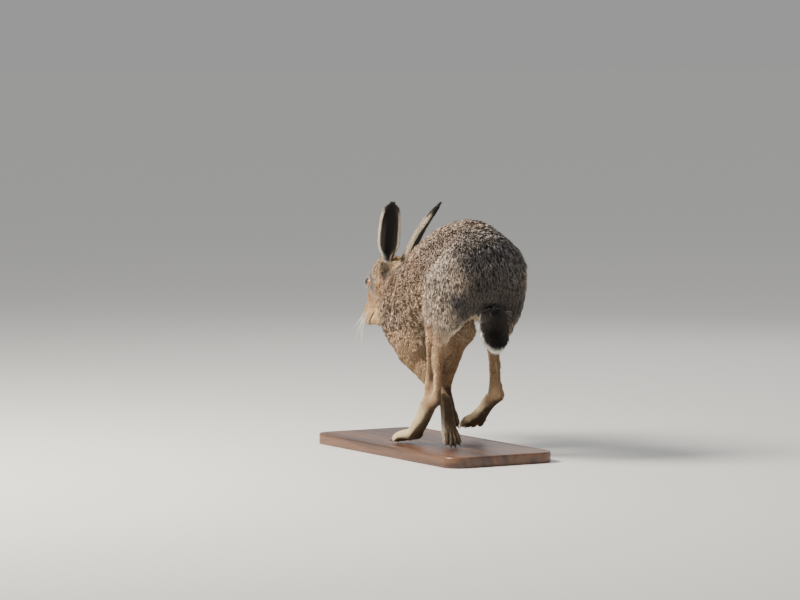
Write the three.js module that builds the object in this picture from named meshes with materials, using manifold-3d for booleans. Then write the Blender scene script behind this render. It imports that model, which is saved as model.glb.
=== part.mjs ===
// A brown hare at full gallop, gathered under an arched back, as a still life-size model on a plain base.
// Millimetres, +Z up. The hare faces -Y, +X is its left. The origin is the middle of the base's underside.
//
// The body is one smooth implicit form, a blend of tapered limbs and chains of round masses out to the
// tips of the coat. Each sub-part is polygonised from it at its own fineness and parted by thin flat cuts.
// Places on the animal are given as forward, left and up from the ground point under its hips.

import * as THREE from 'three';
import { mergeVertices } from 'three/addons/utils/BufferGeometryUtils.js';
import Module from 'manifold-3d';

const wasm = await Module();
wasm.setup();

// Driving sizes
const GAP = 0.3;
const BASE_LENGTH = 450;
const BASE_WIDTH = 196;
const BASE_THICKNESS = 18;
const BASE_CORNER = 26;
const BASE_EDGE = 3;
const BASE_MIDDLE_FORWARD = 150;
const GROUND = BASE_THICKNESS + GAP;

const EYE_RADIUS = 10.2;
const HEAD_PITCH = THREE.MathUtils.degToRad(46);
const EAR_WIDTH = 35.5;
const EAR_DEPTH = 15;
const EAR_TUBE = 18;
const EAR_THICKNESS = 3;
const EAR_HOLLOW_FROM = 0.13;
const EAR_CUT_SHARE = 0.08;
const EAR_STUB = 12.5;
const EAR_TURN = { left: THREE.MathUtils.degToRad(25), right: THREE.MathUtils.degToRad(21) };
const EYE_PLACE = { u: 4, v: 9.5, left: 17.5 };
const LID = { halfLength: 9.4, halfHeight: 8, thickness: 2.1, over: 0.8 };
const HIND_CLAW = { length: 11, radius: 2 };
const FORE_CLAW = { length: 9, radius: 1.8 };
const HIND_LEG_TURN = THREE.MathUtils.degToRad(18);

// How softly neighbouring masses run into each other
const BODY_BLEND = 22;
const LEG_BLEND = 12;
const JOINT_BLEND = 2;
const HEAD_BLEND = 9;
const NAPE_BLEND = 14;
const TOE_BLEND = 3;

// Grid steps of the polygonised sub-parts
const TRUNK_STEP = 13;
const NECK_STEP = 10;
const HEAD_STEP = 5.1;
const TAIL_STEP = 8;
const SHANK_STEP = 8.2;
const HIND_FOOT_STEP = 6.2;
const FOREARM_STEP = 8.2;
const FORE_FOOT_STEP = 5.4;

function finish(color, roughness) {
  return new THREE.MeshStandardMaterial({ color, roughness, metalness: 0 });
}

const FUR_BACK = finish(0x8a7866, 0.95);
const FUR_RUMP = finish(0x55524f, 0.95);
const FUR_LEG = finish(0xb08e6e, 0.95);
const FUR_HEAD = finish(0xa08568, 0.95);
const FUR_TAIL = finish(0x2a2826, 0.95);
const FUR_EAR = finish(0x8f7f6c, 0.95);
const EYE_AMBER = finish(0x8a5a1c, 0.1);
const BASE_WOOD = finish(0x5a3b26, 0.5);

// Places on the animal

function at(forward, left, up) {
  return new THREE.Vector3(left, BASE_MIDDLE_FORWARD - forward, up + GROUND);
}

// The head has its own frame: u towards the nose, v towards the crown, left across
const HEAD_MIDDLE = { forward: 309, up: 247 };

function onHead(u, v, left) {
  const forward = HEAD_MIDDLE.forward + u * Math.cos(HEAD_PITCH) + v * Math.sin(HEAD_PITCH);
  const up = HEAD_MIDDLE.up - u * Math.sin(HEAD_PITCH) + v * Math.cos(HEAD_PITCH);
  return at(forward, left, up);
}

// Implicit forms: every field is negative inside, in millimetres

// A chain of round masses. A mass is { place, radius, width }, where width is the sideways
// half-width and radius the half-depth. Masses between the given ones follow a smooth curve.
// Sideways is +X, turned about the vertical by turn.
function chain(masses, turn = 0, between = 4) {
  const sideX = Math.cos(turn);
  const sideY = Math.sin(turn);
  const spine = new THREE.CatmullRomCurve3(masses.map((mass) => mass.place), false, 'centripetal');
  const girth = new THREE.CatmullRomCurve3(
    masses.map((mass) => new THREE.Vector3(mass.radius, (mass.width ?? mass.radius) / mass.radius, 0)),
    false, 'catmullrom', 0.5);
  const count = (masses.length - 1) * between;
  const rings = [];
  for (let i = 0; i <= count; i += 1) {
    const place = spine.getPoint(i / count);
    const size = girth.getPoint(i / count);
    rings.push({ x: place.x, y: place.y, z: place.z, radius: size.x, flat: size.y });
  }
  return (x, y, z) => {
    let nearest = Infinity;
    for (let i = 0; i < count; i += 1) {
      const a = rings[i];
      const b = rings[i + 1];
      const dx = b.x - a.x;
      const dy = b.y - a.y;
      const dz = b.z - a.z;
      const along = ((x - a.x) * dx + (y - a.y) * dy + (z - a.z) * dz) / (dx * dx + dy * dy + dz * dz);
      const t = Math.min(1, Math.max(0, along));
      const flat = a.flat + (b.flat - a.flat) * t;
      const offX = x - a.x - dx * t;
      const offY = y - a.y - dy * t;
      const sideways = (offX * sideX + offY * sideY) / flat;
      const distance = Math.hypot(sideways, offY * sideX - offX * sideY, z - a.z - dz * t);
      nearest = Math.min(nearest, distance - a.radius - (b.radius - a.radius) * t);
    }
    return nearest;
  };
}

function ball(place, radius, width = radius) {
  return (x, y, z) => Math.hypot((x - place.x) * radius / width, y - place.y, z - place.z) - radius;
}

function blend(softness, ...fields) {
  return (x, y, z) => {
    let value = fields[0](x, y, z);
    for (let i = 1; i < fields.length; i += 1) {
      const other = fields[i](x, y, z);
      const share = Math.max(softness - Math.abs(value - other), 0) / softness;
      value = Math.min(value, other) - share * share * softness / 4;
    }
    return value;
  };
}

// Trunk

const spine = chain([
  { place: at(-12, 0, 291), radius: 62, width: 50 },
  { place: at(30, 0, 291), radius: 75, width: 54 },
  { place: at(82, 0, 278), radius: 78, width: 57 },
  { place: at(132, 0, 258), radius: 74, width: 54 },
  { place: at(176, 0, 236), radius: 67, width: 49 },
  { place: at(212, 0, 220), radius: 55, width: 43 },
]);

const neckForm = chain([
  { place: at(196, 0, 243), radius: 51, width: 42 },
  { place: at(232, 0, 243), radius: 42, width: 36 },
  { place: at(262, 0, 251), radius: 34, width: 29 },
  { place: at(286, 0, 262), radius: 26, width: 23 },
]);

const tailForm = chain([
  { place: at(-26, 0, 240), radius: 16, width: 16 },
  { place: at(-40, 1, 215), radius: 17, width: 23 },
  { place: at(-47, 2, 190), radius: 15, width: 24 },
  { place: at(-52, 2, 168), radius: 10, width: 15 },
]);

// Legs. A joint is forward, outwards from the body's middle, and up.

function along(p, q, share) {
  return p.map((value, i) => value + (q[i] - value) * share);
}

function shifted(p, forward, outward, up) {
  return [p[0] + forward, p[1] + outward, p[2] + up];
}

// The masses of a leg, each [joint, half-depth, half-width], on one side of the body
function legChain(side, masses, turn = 0) {
  return chain(masses.map(([joint, radius, width]) => ({
    place: at(joint[0], joint[1] * side, joint[2]), radius, width,
  })), turn * side);
}

function hindLeg(side, joints) {
  const { hip, knee, hock, heel, knuckle, toe, spread, stout, pad } = joints;
  const turn = HIND_LEG_TURN;
  const thigh = blend(BODY_BLEND,
    legChain(side, [
      [shifted(hip, 8, -2, -4), 43, 36],
      [shifted(along(hip, knee, 0.5), 0, 2, 2), 42, 34],
      [shifted(knee, -4, 0, 4), 27, 22],
    ]),
    legChain(side, [
      [shifted(hip, 0, -4, -20), 36, 32],
      [shifted(along(hip, knee, 0.5), -16, 0, -26), 31, 26],
      [shifted(knee, -18, 0, -26), 20, 15],
    ]));
  const shin = legChain(side, [
    [shifted(knee, 0, 0, -2), 22, 18],
    [along(knee, hock, 0.35), 17 * stout, 11 * stout],
    [along(knee, hock, 0.7), 10 * stout, 8 * stout],
    [hock, 10.5, 9.5],
  ], turn);
  const calf = legChain(side, [
    [shifted(knee, -14, 0, -22), 18, 15],
    [shifted(along(knee, heel, 0.4), -8 * stout, 0, 0), 12 * stout, 8 * stout],
    [shifted(along(knee, heel, 0.75), -4, 0, 0), 6, 5.5],
    [heel, 8.5, 8],
  ], turn);
  const instep = legChain(side, [
    [heel, 9.5, 9],
    [shifted(along(hock, knuckle, 0.15), -pad, 0, -pad), 12.5 + pad * 0.4, 10.5],
    [shifted(along(hock, knuckle, 0.55), -pad, 0, -pad / 2), 10.5 + pad * 0.4, 11],
    [knuckle, 9.5, 15],
  ], turn);
  const shank = blend(LEG_BLEND / 2, shin, calf);
  const lower = blend(JOINT_BLEND, shank, instep);
  return { thigh, lower, ...toes(side, knuckle, toe, spread, 7.2) };
}

function foreLeg(side, joints) {
  const { shoulder, elbow, wrist, knuckle, toe, spread, stout, bow } = joints;
  const upper = legChain(side, [
    [shifted(shoulder, -26, -6, 26), 33, 20],
    [shifted(shoulder, -4, 0, 0), 33, 21],
    [along(shoulder, elbow, 0.55), 31, 20],
    [shifted(elbow, -8, 0, 4), 24, 19],
  ]);
  const forearm = legChain(side, [
    [elbow, 21, 17],
    [shifted(along(elbow, wrist, 0.3), 0, -bow, 0), 15.5 * stout, 13.5 * stout],
    [shifted(along(elbow, wrist, 0.7), 0, -bow / 2, 0), 10.5 * stout, 9.5 * stout],
    [wrist, 9.5, 9.5],
  ]);
  const palm = legChain(side, [
    [wrist, 9.5, 9.5],
    [along(wrist, knuckle, 0.5), 9, 11],
    [knuckle, 8.5, 13],
  ]);
  return { upper, lower: blend(JOINT_BLEND, forearm, palm), ...toes(side, knuckle, toe, spread, 6.2) };
}

// Four toes fanning out from the knuckles, the middle two longest, and the tip of each for its claw
function toes(side, knuckle, tip, spread, radius) {
  const forms = [];
  const tips = [];
  for (let i = 0; i < 4; i += 1) {
    const across = i - 1.5;
    const start = shifted(knuckle, 0, across * spread * 0.6, 0);
    const end = shifted(along(knuckle, tip, 1.04 - 0.09 * across ** 2), 0, across * spread, 0);
    const middle = shifted(along(start, end, 0.5), 0, 0, radius * 0.4);
    forms.push(legChain(side, [
      [start, radius * 1.05], [middle, radius], [end, radius * 0.82],
    ]));
    tips.push({ root: middle, end, reach: radius * 0.82 });
  }
  return { toes: blend(TOE_BLEND, ...forms), tips };
}

const legs = {
  left_hind: {
    side: 1,
    hind: true,
    ...hindLeg(1, {
      hip: [-22, 38, 296], knee: [57, 46, 226], hock: [77, 47, 90], heel: [57, 47, 78],
      knuckle: [125, 49, 17], toe: [156, 58, 7], spread: 9.5, stout: 1, pad: 6,
    }),
  },
  right_hind: {
    side: -1,
    hind: true,
    ...hindLeg(-1, {
      hip: [-18, 33, 290], knee: [43, 48, 214], hock: [34, 47, 82], heel: [19, 47, 84],
      knuckle: [109, 60, 38], toe: [140, 66, 24], spread: 11.5, stout: 0.82, pad: 0,
    }),
  },
  left_fore: {
    side: 1,
    ...foreLeg(1, {
      shoulder: [222, 31, 208], elbow: [163, 33, 146], wrist: [80, 17, 72], knuckle: [66, 18, 25],
      toe: [50, 21, 6.5], spread: 8, stout: 1.05, bow: 0,
    }),
  },
  right_fore: {
    side: -1,
    ...foreLeg(-1, {
      shoulder: [212, 31, 222], elbow: [118, 33, 182], wrist: [147, 22, 86], knuckle: [128, 19, 46],
      toe: [116, 17, 27], spread: 7.4, stout: 1.2, bow: 3.5,
    }),
  },
};

// Head

function bothSides(makeForm) {
  return [makeForm(1), makeForm(-1)];
}

const skull = chain([
  { place: onHead(-33, 3, 0), radius: 25, width: 23 },
  { place: onHead(-6, 2, 0), radius: 25.5, width: 24.5 },
  { place: onHead(24, -3, 0), radius: 21.5, width: 19 },
  { place: onHead(47, -9, 0), radius: 17, width: 15.5 },
  { place: onHead(58, -9, 0), radius: 12, width: 10 },
]);

const jaw = chain([
  { place: onHead(-26, -19, 0), radius: 18, width: 19 },
  { place: onHead(12, -26, 0), radius: 14.5, width: 13.5 },
  { place: onHead(47, -32, 0), radius: 9, width: 9.5 },
]);

const cheeks = bothSides((side) => ball(onHead(-13, -8, 14 * side), 18, 13));
const whiskerPads = bothSides((side) => ball(onHead(53, -16, 10.5 * side), 13, 11.5));
const brows = bothSides((side) => chain([
  { place: onHead(-10, 15, 18 * side), radius: 6 },
  { place: onHead(4, 19, 18.5 * side), radius: 6 },
  { place: onHead(18, 12, 14 * side), radius: 5 },
]));
const orbits = bothSides((side) => ball(onHead(EYE_PLACE.u, EYE_PLACE.v, 12 * side), 14, 12.5));

// Where each ear leaves the skull, and the curve of its middle from root to tip
const earRoot = { forward: 272, left: 14, up: 280 };

function earLine(side) {
  const lean = {
    left: [[-7, 3, 28], [-15, 5, 64], [-30, 8, 107.5]],
    right: [[-16, 6, 25], [-37, 13, 59], [-81, 25, 107]],
  }[side > 0 ? 'left' : 'right'];
  const places = [[0, 0, 0], ...lean].map(([forward, left, up]) => at(
    earRoot.forward + forward, (earRoot.left + left) * side, earRoot.up + up));
  return new THREE.CatmullRomCurve3(places, false, 'centripetal');
}

const earStubs = bothSides((side) => chain([
  { place: onHead(-30, 8, 12 * side), radius: 13 },
  { place: at(earRoot.forward + 2, earRoot.left * side, earRoot.up - 8), radius: 11.5 },
  { place: earLine(side).getPoint(0.12), radius: EAR_TUBE / 2 + 0.6 },
]));

const headForm = blend(HEAD_BLEND, skull, jaw, ...cheeks, ...whiskerPads, ...brows, ...orbits, ...earStubs);

// Whole forms of the trunk, with the roots of what grows from it

const trunkCore = blend(BODY_BLEND, spine, neckForm);
const legRoots = Object.values(legs).map((leg) => blend(LEG_BLEND, leg.thigh ?? leg.upper, leg.lower));
const trunk = blend(BODY_BLEND, trunkCore, ...legRoots);
const neckAndHead = blend(NAPE_BLEND, trunk, headForm);

// How far, in grid steps, each vertex keeps inside the walls of its own grid cell
const CELL_MARGIN = 0.06;

// Polygonising: one vertex in each grid cell that the surface crosses, moved onto the surface

function polygonise(field, low, high, step) {
  const counts = [0, 1, 2].map((axis) => Math.ceil((high[axis] - low[axis]) / step) + 1);
  const [nx, ny, nz] = counts;
  const inside = (x, y, z) => Math.max(
    field(x, y, z), low[0] + step - x, x - high[0] + step,
    low[1] + step - y, y - high[1] + step, low[2] + step - z, z - high[2] + step);
  const values = new Float64Array(nx * ny * nz);
  const index = (i, j, k) => (k * ny + j) * nx + i;
  for (let k = 0; k < nz; k += 1) {
    for (let j = 0; j < ny; j += 1) {
      for (let i = 0; i < nx; i += 1) {
        values[index(i, j, k)] = inside(low[0] + i * step, low[1] + j * step, low[2] + k * step);
      }
    }
  }
  closeChecks(values, index, counts, step * CELL_MARGIN);
  const vertexOf = new Map();
  const positions = [];
  const corners = [0, 1, 2, 3, 4, 5, 6, 7].map((c) => [c & 1, (c >> 1) & 1, (c >> 2) & 1]);
  const edges = [];
  for (let a = 0; a < 8; a += 1) {
    for (const bit of [1, 2, 4]) {
      if (!(a & bit)) edges.push([a, a | bit]);
    }
  }
  for (let k = 0; k < nz - 1; k += 1) {
    for (let j = 0; j < ny - 1; j += 1) {
      for (let i = 0; i < nx - 1; i += 1) {
        const at8 = corners.map(([a, b, c]) => values[index(i + a, j + b, k + c)]);
        const crossing = new THREE.Vector3();
        let found = 0;
        for (const [a, b] of edges) {
          if ((at8[a] < 0) === (at8[b] < 0)) continue;
          const t = at8[a] / (at8[a] - at8[b]);
          crossing.x += corners[a][0] + (corners[b][0] - corners[a][0]) * t;
          crossing.y += corners[a][1] + (corners[b][1] - corners[a][1]) * t;
          crossing.z += corners[a][2] + (corners[b][2] - corners[a][2]) * t;
          found += 1;
        }
        if (!found) continue;
        const corner = [low[0] + i * step, low[1] + j * step, low[2] + k * step];
        crossing.multiplyScalar(step / found).add(new THREE.Vector3(...corner));
        const settled = settle(inside, crossing, step / 2);
        vertexOf.set(index(i, j, k), positions.length / 3);
        positions.push(...settled.map((value, axis) => THREE.MathUtils.clamp(
          value, corner[axis] + step * CELL_MARGIN, corner[axis] + step * (1 - CELL_MARGIN))));
      }
    }
  }
  return quadsBetween(values, index, [nx, ny, nz], vertexOf, positions);
}

// Where the corners of a grid face are in and out by turns, four faces would meet in one edge. The outer
// corner nearest to the surface is taken in until no such grid face is left.
function closeChecks(values, index, [nx, ny, nz], small) {
  const around = [[[0, 0, 0], [1, 0, 0], [1, 1, 0], [0, 1, 0]],
    [[0, 0, 0], [0, 1, 0], [0, 1, 1], [0, 0, 1]],
    [[0, 0, 0], [0, 0, 1], [1, 0, 1], [1, 0, 0]]];
  let found = true;
  while (found) {
    found = false;
    for (let k = 0; k < nz - 1; k += 1) {
      for (let j = 0; j < ny - 1; j += 1) {
        for (let i = 0; i < nx - 1; i += 1) {
          for (const face of around) {
            const places = face.map(([a, b, c]) => index(i + a, j + b, k + c));
            const isIn = places.map((place) => values[place] < 0);
            if (isIn[0] !== isIn[2] || isIn[1] !== isIn[3] || isIn[0] === isIn[1]) continue;
            const outer = places.filter((place) => values[place] >= 0);
            const nearest = values[outer[0]] < values[outer[1]] ? outer[0] : outer[1];
            values[nearest] = -small;
            found = true;
          }
        }
      }
    }
  }
}

// Moves a point along the field's slope until it lies on the surface, within a limit
function settle(field, point, limit) {
  const start = point.clone();
  const small = 0.05;
  for (let round = 0; round < 3; round += 1) {
    const value = field(point.x, point.y, point.z);
    const slope = new THREE.Vector3(
      field(point.x + small, point.y, point.z) - value,
      field(point.x, point.y + small, point.z) - value,
      field(point.x, point.y, point.z + small) - value).divideScalar(small);
    const steepness = slope.lengthSq();
    if (steepness < 0.01) break;
    point.addScaledVector(slope, -value / steepness);
  }
  const move = point.clone().sub(start).clampLength(0, limit);
  return start.add(move).toArray();
}

function quadsBetween(values, index, counts, vertexOf, positions) {
  const [nx, ny, nz] = counts;
  const faces = [];
  const steps = [[1, 0, 0], [0, 1, 0], [0, 0, 1]];
  for (let k = 1; k < nz - 1; k += 1) {
    for (let j = 1; j < ny - 1; j += 1) {
      for (let i = 1; i < nx - 1; i += 1) {
        for (let axis = 0; axis < 3; axis += 1) {
          const [a, b, c] = steps[axis];
          const here = values[index(i, j, k)] < 0;
          const there = values[index(i + a, j + b, k + c)] < 0;
          if (here === there) continue;
          const p = steps[(axis + 1) % 3];
          const q = steps[(axis + 2) % 3];
          const cell = (m, n) => vertexOf.get(index(
            i - m * p[0] - n * q[0], j - m * p[1] - n * q[1], k - m * p[2] - n * q[2]));
          const quad = [cell(1, 1), cell(0, 1), cell(0, 0), cell(1, 0)];
          if (!here) quad.reverse();
          faces.push(...splitQuad(quad, positions));
        }
      }
    }
  }
  return indexed(positions, faces);
}

// Splits a quad along its shorter diagonal
function splitQuad([a, b, c, d], positions) {
  const place = (v) => new THREE.Vector3().fromArray(positions, v * 3);
  if (place(a).distanceTo(place(c)) < place(b).distanceTo(place(d))) return [a, b, c, a, c, d];
  return [a, b, d, b, c, d];
}

// Joining and cutting

function solid(geometry, matrix = new THREE.Matrix4()) {
  const bare = geometry.clone();
  bare.deleteAttribute('normal');
  bare.deleteAttribute('uv');
  bare.applyMatrix4(matrix);
  const merged = mergeVertices(bare, 1e-4);
  return new wasm.Manifold(new wasm.Mesh({
    numProp: 3,
    vertProperties: new Float32Array(merged.attributes.position.array),
    triVerts: new Uint32Array(merged.index.array),
  }));
}

function largest(shape) {
  const pieces = shape.decompose().filter((piece) => piece.volume() > 0);
  return pieces.reduce((best, piece) => (piece.volume() > best.volume() ? piece : best));
}

function toGeometry(shape) {
  const mesh = shape.getMesh();
  const geometry = new THREE.BufferGeometry();
  geometry.setAttribute('position', new THREE.Float32BufferAttribute(mesh.vertProperties, 3));
  geometry.setIndex(Array.from(mesh.triVerts));
  geometry.computeVertexNormals();
  return geometry;
}

// A plane is { point, normal }, and its kept side is the one that the normal points away from.
// A region is where all its planes keep; grow moves every plane outwards.
const WIDE = 1200;

function region(planes, grow) {
  return planes.map(({ point, normal }) => {
    const outward = normal.clone().normalize();
    const centre = point.clone().addScaledVector(outward, grow - WIDE / 2);
    const turn = new THREE.Quaternion().setFromUnitVectors(new THREE.Vector3(0, 0, 1), outward);
    const box = new THREE.BoxGeometry(WIDE, WIDE, WIDE);
    return solid(box, new THREE.Matrix4().compose(centre, turn, new THREE.Vector3(1, 1, 1)));
  }).reduce((all, box) => all.intersect(box));
}

function plane(point, forward, left, up) {
  return { point, normal: new THREE.Vector3(left, -forward, up) };
}

function turnedRound({ point, normal }) {
  return { point, normal: normal.clone().negate() };
}

function keep(shape, ...planes) {
  return shape.intersect(region(planes, -GAP / 2));
}

function drop(shape, planes) {
  return shape.subtract(region(planes, GAP / 2));
}

// The cuts

const cutHead = plane(at(266, 0, 240), -0.98, 0, -0.2);
const cutNeck = plane(at(226, 0, 240), -0.9, 0, -0.45);
const cutChest = plane(at(140, 0, 260), -0.97, 0, -0.25);
const cutLoin = plane(at(30, 0, 290), -1, 0, 0.1);
const cutTail = plane(at(-34, 0, 226), 0.4, 0, 0.92);
const cutTailFront = plane(at(-14, 0, 226), 1, 0, 0);

const thighCuts = (side) => [
  plane(at(0, 38 * side, 320), 0, -side, 0.117),
  plane(at(55, 0, 282), 0.77, 0, 0.64),
  plane(at(82, 0, 199), 0.87, 0, -0.49),
];
const armCuts = (side) => [
  plane(at(150, 26 * side, 230), 0, -side, 0.225),
  plane(at(170, 0, 238), -0.12, 0, 1),
  plane(at(82, 0, 199), -0.87, 0, 0.49),
];

const groundCut = plane(at(0, 0, 0), 0, 0, -1);

const kneeCut = plane(at(50, 0, 196), 0.1, 0, -1);
const hockCuts = {
  left_hind: plane(at(74, 0, 78), -0.55, 0, 0.83),
  right_hind: plane(at(34, 0, 72), -0.62, 0, 0.78),
};
const elbowCuts = {
  left_fore: plane(at(146, 0, 131), 0.76, 0, 0.65),
  right_fore: plane(at(124, 0, 160), -0.26, 0, 0.97),
};
const wristCuts = {
  left_fore: plane(at(79, 0, 70), 0.3, 0, 0.95),
  right_fore: plane(at(146, 0, 86), 0.2, 0, 0.98),
};

function earCut(side) {
  const line = earLine(side);
  return { point: line.getPoint(EAR_CUT_SHARE), normal: line.getTangent(EAR_CUT_SHARE).negate() };
}

// Sub-parts

const meshes = [];

function addMesh(name, shape, material) {
  const mesh = new THREE.Mesh(toGeometry(shape), material);
  mesh.name = name;
  meshes.push(mesh);
}

function form(field, lowPlace, highPlace, step) {
  const box = new THREE.Box3().setFromPoints([lowPlace, highPlace]);
  return solid(polygonise(field, box.min.toArray(), box.max.toArray(), step));
}

// The trunk and the roots of the legs are one solid, parted by the cuts
function addTrunk() {
  const whole = form(trunk, at(-110, -110, 90), at(320, 110, 400), TRUNK_STEP);
  let body = whole;
  for (const [name, leg] of Object.entries(legs)) {
    if (leg.hind) {
      const cuts = thighCuts(leg.side);
      addMesh(`${name}_thigh`, largest(keep(whole, ...cuts, kneeCut)), FUR_RUMP);
      body = drop(body, cuts);
    } else {
      const cuts = armCuts(leg.side);
      addMesh(`${name}_upper`, largest(keep(whole, ...cuts, turnedRound(elbowCuts[name]))), FUR_BACK);
      body = drop(body, cuts);
    }
  }
  const rump = drop(keep(body, turnedRound(cutLoin)), [cutTail, cutTailFront]);
  addMesh('rump', largest(rump), FUR_RUMP);
  addMesh('loin', largest(keep(body, cutLoin, turnedRound(cutChest))), FUR_BACK);
  addMesh('chest', largest(keep(body, cutChest, turnedRound(cutNeck))), FUR_BACK);
  const tail = form(tailForm, at(-90, -40, 140), at(10, 40, 280), TAIL_STEP);
  addMesh('tail', largest(keep(tail, cutTail)), FUR_TAIL);
  let neck = form(neckAndHead, at(190, -70, 150), at(300, 70, 330), NECK_STEP);
  for (const side of [1, -1]) neck = drop(neck, armCuts(side));
  addMesh('neck', largest(keep(neck, cutNeck, turnedRound(cutHead))), FUR_BACK);
}

function addHindLeg(name, leg) {
  const { side } = leg;
  const whole = blend(LEG_BLEND, leg.thigh, leg.lower);
  const shank = form(whole, at(-60, 5 * side, 40), at(140, 95 * side, 240), SHANK_STEP);
  const hockCut = hockCuts[name];
  addMesh(`${name}_shank`, largest(keep(shank, turnedRound(kneeCut), turnedRound(hockCut))), FUR_LEG);
  const foot = form(blend(TOE_BLEND, leg.lower, leg.toes),
    at(0, 10 * side, -20), at(200, 110 * side, 130), HIND_FOOT_STEP);
  addMesh(`${name}_foot`, largest(keep(withClaws(foot, leg, HIND_CLAW), groundCut, hockCut)), FUR_LEG);
}

function addForeLeg(name, leg) {
  const { side } = leg;
  const whole = blend(LEG_BLEND, leg.upper, leg.lower);
  const forearm = form(whole, at(40, -15 * side, 30), at(230, 75 * side, 230), FOREARM_STEP);
  const wristCut = wristCuts[name];
  addMesh(`${name}_forearm`, largest(keep(forearm, elbowCuts[name], turnedRound(wristCut))), FUR_LEG);
  const paw = form(blend(TOE_BLEND, leg.lower, leg.toes),
    at(10, -20 * side, -20), at(190, 60 * side, 120), FORE_FOOT_STEP);
  addMesh(`${name}_paw`, largest(keep(withClaws(paw, leg, FORE_CLAW), groundCut, wristCut)), FUR_LEG);
}

// Claws: short cones, sunk into the tips of the toes
function withClaws(shape, leg, size) {
  return leg.tips.reduce((whole, { root, end, reach }) => {
    const from = at(root[0], root[1] * leg.side, root[2]);
    const to = at(end[0], end[1] * leg.side, end[2]);
    const direction = to.clone().sub(from).normalize();
    const cone = new THREE.ConeGeometry(size.radius, size.length, 6);
    cone.translate(0, size.length / 2, 0);
    const turn = new THREE.Quaternion().setFromUnitVectors(new THREE.Vector3(0, 1, 0), direction);
    const root3 = to.addScaledVector(direction, reach - size.length * 0.5);
    return whole.add(solid(cone, new THREE.Matrix4().compose(root3, turn, new THREE.Vector3(1, 1, 1))));
  }, shape);
}

// Head, with its lids, mouth, nostrils and eye sockets

function onFace(u, v, left) {
  const limit = 12;
  return new THREE.Vector3(...settle(headForm, onHead(u, v, left), limit));
}

function groove(places, radius) {
  const circle = new THREE.Shape().absarc(0, 0, radius, 0, Math.PI * 2);
  const path = new THREE.CatmullRomCurve3(places, false, 'centripetal');
  return solid(new THREE.ExtrudeGeometry(circle, {
    extrudePath: path, steps: places.length * 3, curveSegments: 3, bevelEnabled: false,
  }));
}

function eyeball(side, radius) {
  const sphere = new THREE.SphereGeometry(radius, 14, 9);
  sphere.rotateZ(Math.PI / 2);
  return solid(sphere, new THREE.Matrix4().setPosition(eyeMiddle(side)));
}

function eyeMiddle(side) {
  return onHead(EYE_PLACE.u, EYE_PLACE.v, EYE_PLACE.left * side);
}

// The lids, an oval ring that lies on the eyeball
function eyelids(side) {
  const around = 20;
  const sides = 6;
  const positions = [];
  for (let i = 0; i < around; i += 1) {
    const turn = (i / around) * Math.PI * 2 * side;
    const u = Math.cos(turn) * LID.halfLength;
    const v = Math.sin(turn) * LID.halfHeight;
    const left = Math.sqrt((EYE_RADIUS + LID.over) ** 2 - u * u - v * v);
    const outward = new THREE.Vector2(u, v).normalize();
    for (let j = 0; j < sides; j += 1) {
      const roll = (j / sides) * Math.PI * 2;
      const out = Math.cos(roll) * LID.thickness;
      const place = onHead(EYE_PLACE.u + u + outward.x * out, EYE_PLACE.v + v + outward.y * out,
        (EYE_PLACE.left + left + Math.sin(roll) * LID.thickness) * side);
      positions.push(...place.toArray());
    }
  }
  return solid(loopToGeometry(positions, around, sides));
}

function addHead() {
  let head = form(neckAndHead, at(230, -52, 150), at(392, 52, 322), HEAD_STEP);
  head = keep(head, cutHead);
  for (const side of [1, -1]) {
    head = head.add(eyelids(side)).subtract(eyeball(side, EYE_RADIUS + GAP));
    const mouth = [[62, -25, 0.2], [59, -27, 5], [52, -26.5, 10], [43, -24, 13], [34, -21.5, 14]];
    head = head.subtract(groove(mouth.map(([u, v, left]) => onFace(u, v, left * side)), 0.9));
    const nostril = [[69, -8, 1.8], [68, -6, 4.4], [64, -3, 6.2]];
    head = head.subtract(groove(nostril.map(([u, v, left]) => onFace(u, v, left * side)), 1.1));
    const root = earLine(side).getPoint(EAR_CUT_SHARE);
    const inner = plane(root.clone().setX((earRoot.left - EAR_STUB) * side), 0, -side, 0);
    const front = plane(root.clone().setY(root.y - EAR_STUB), 1, 0, 0);
    head = drop(drop(head, [earCut(side), inner, front]), armCuts(side));
  }
  const philtrum = [[69, -10, 0], [68, -16, 0], [64, -23, 0]];
  head = head.subtract(groove(philtrum.map(([u, v, left]) => onFace(u, v, left)), 0.9));
  addMesh('head', largest(head), FUR_HEAD);
  addMesh('left_eye', eyeball(1, EYE_RADIUS), EYE_AMBER);
  addMesh('right_eye', eyeball(-1, EYE_RADIUS), EYE_AMBER);
}

// Ears: an oval tube that opens into a long cup, the outer form less a hollow that breaks through its front

function earLoft(side, inner) {
  const line = earLine(side);
  const rings = 13;
  const sides = 16;
  const turn = side > 0 ? EAR_TURN.left : EAR_TURN.right;
  const opening = new THREE.Vector3(Math.sin(turn) * side, Math.cos(turn), 0);
  const positions = [];
  for (let i = 0; i <= rings; i += 1) {
    const t = i / rings;
    const share = inner ? EAR_HOLLOW_FROM + t * (1.03 - EAR_HOLLOW_FROM) : t;
    const size = earSize(Math.min(share, 1), inner);
    const middle = line.getPoint(Math.min(share, 1));
    const upward = line.getTangent(Math.min(share, 1));
    if (share > 1) middle.addScaledVector(upward, (share - 1) * 110);
    const front = opening.clone().addScaledVector(upward, -opening.dot(upward)).normalize();
    const across = front.clone().cross(upward);
    for (let j = 0; j < sides; j += 1) {
      const roll = (j / sides) * Math.PI * 2;
      const place = middle.clone()
        .addScaledVector(across, Math.cos(roll) * size.width)
        .addScaledVector(front, Math.sin(roll) * size.depth + size.forward);
      positions.push(...place.toArray());
    }
  }
  return solid(ringsToGeometry(positions, rings, sides));
}

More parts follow.
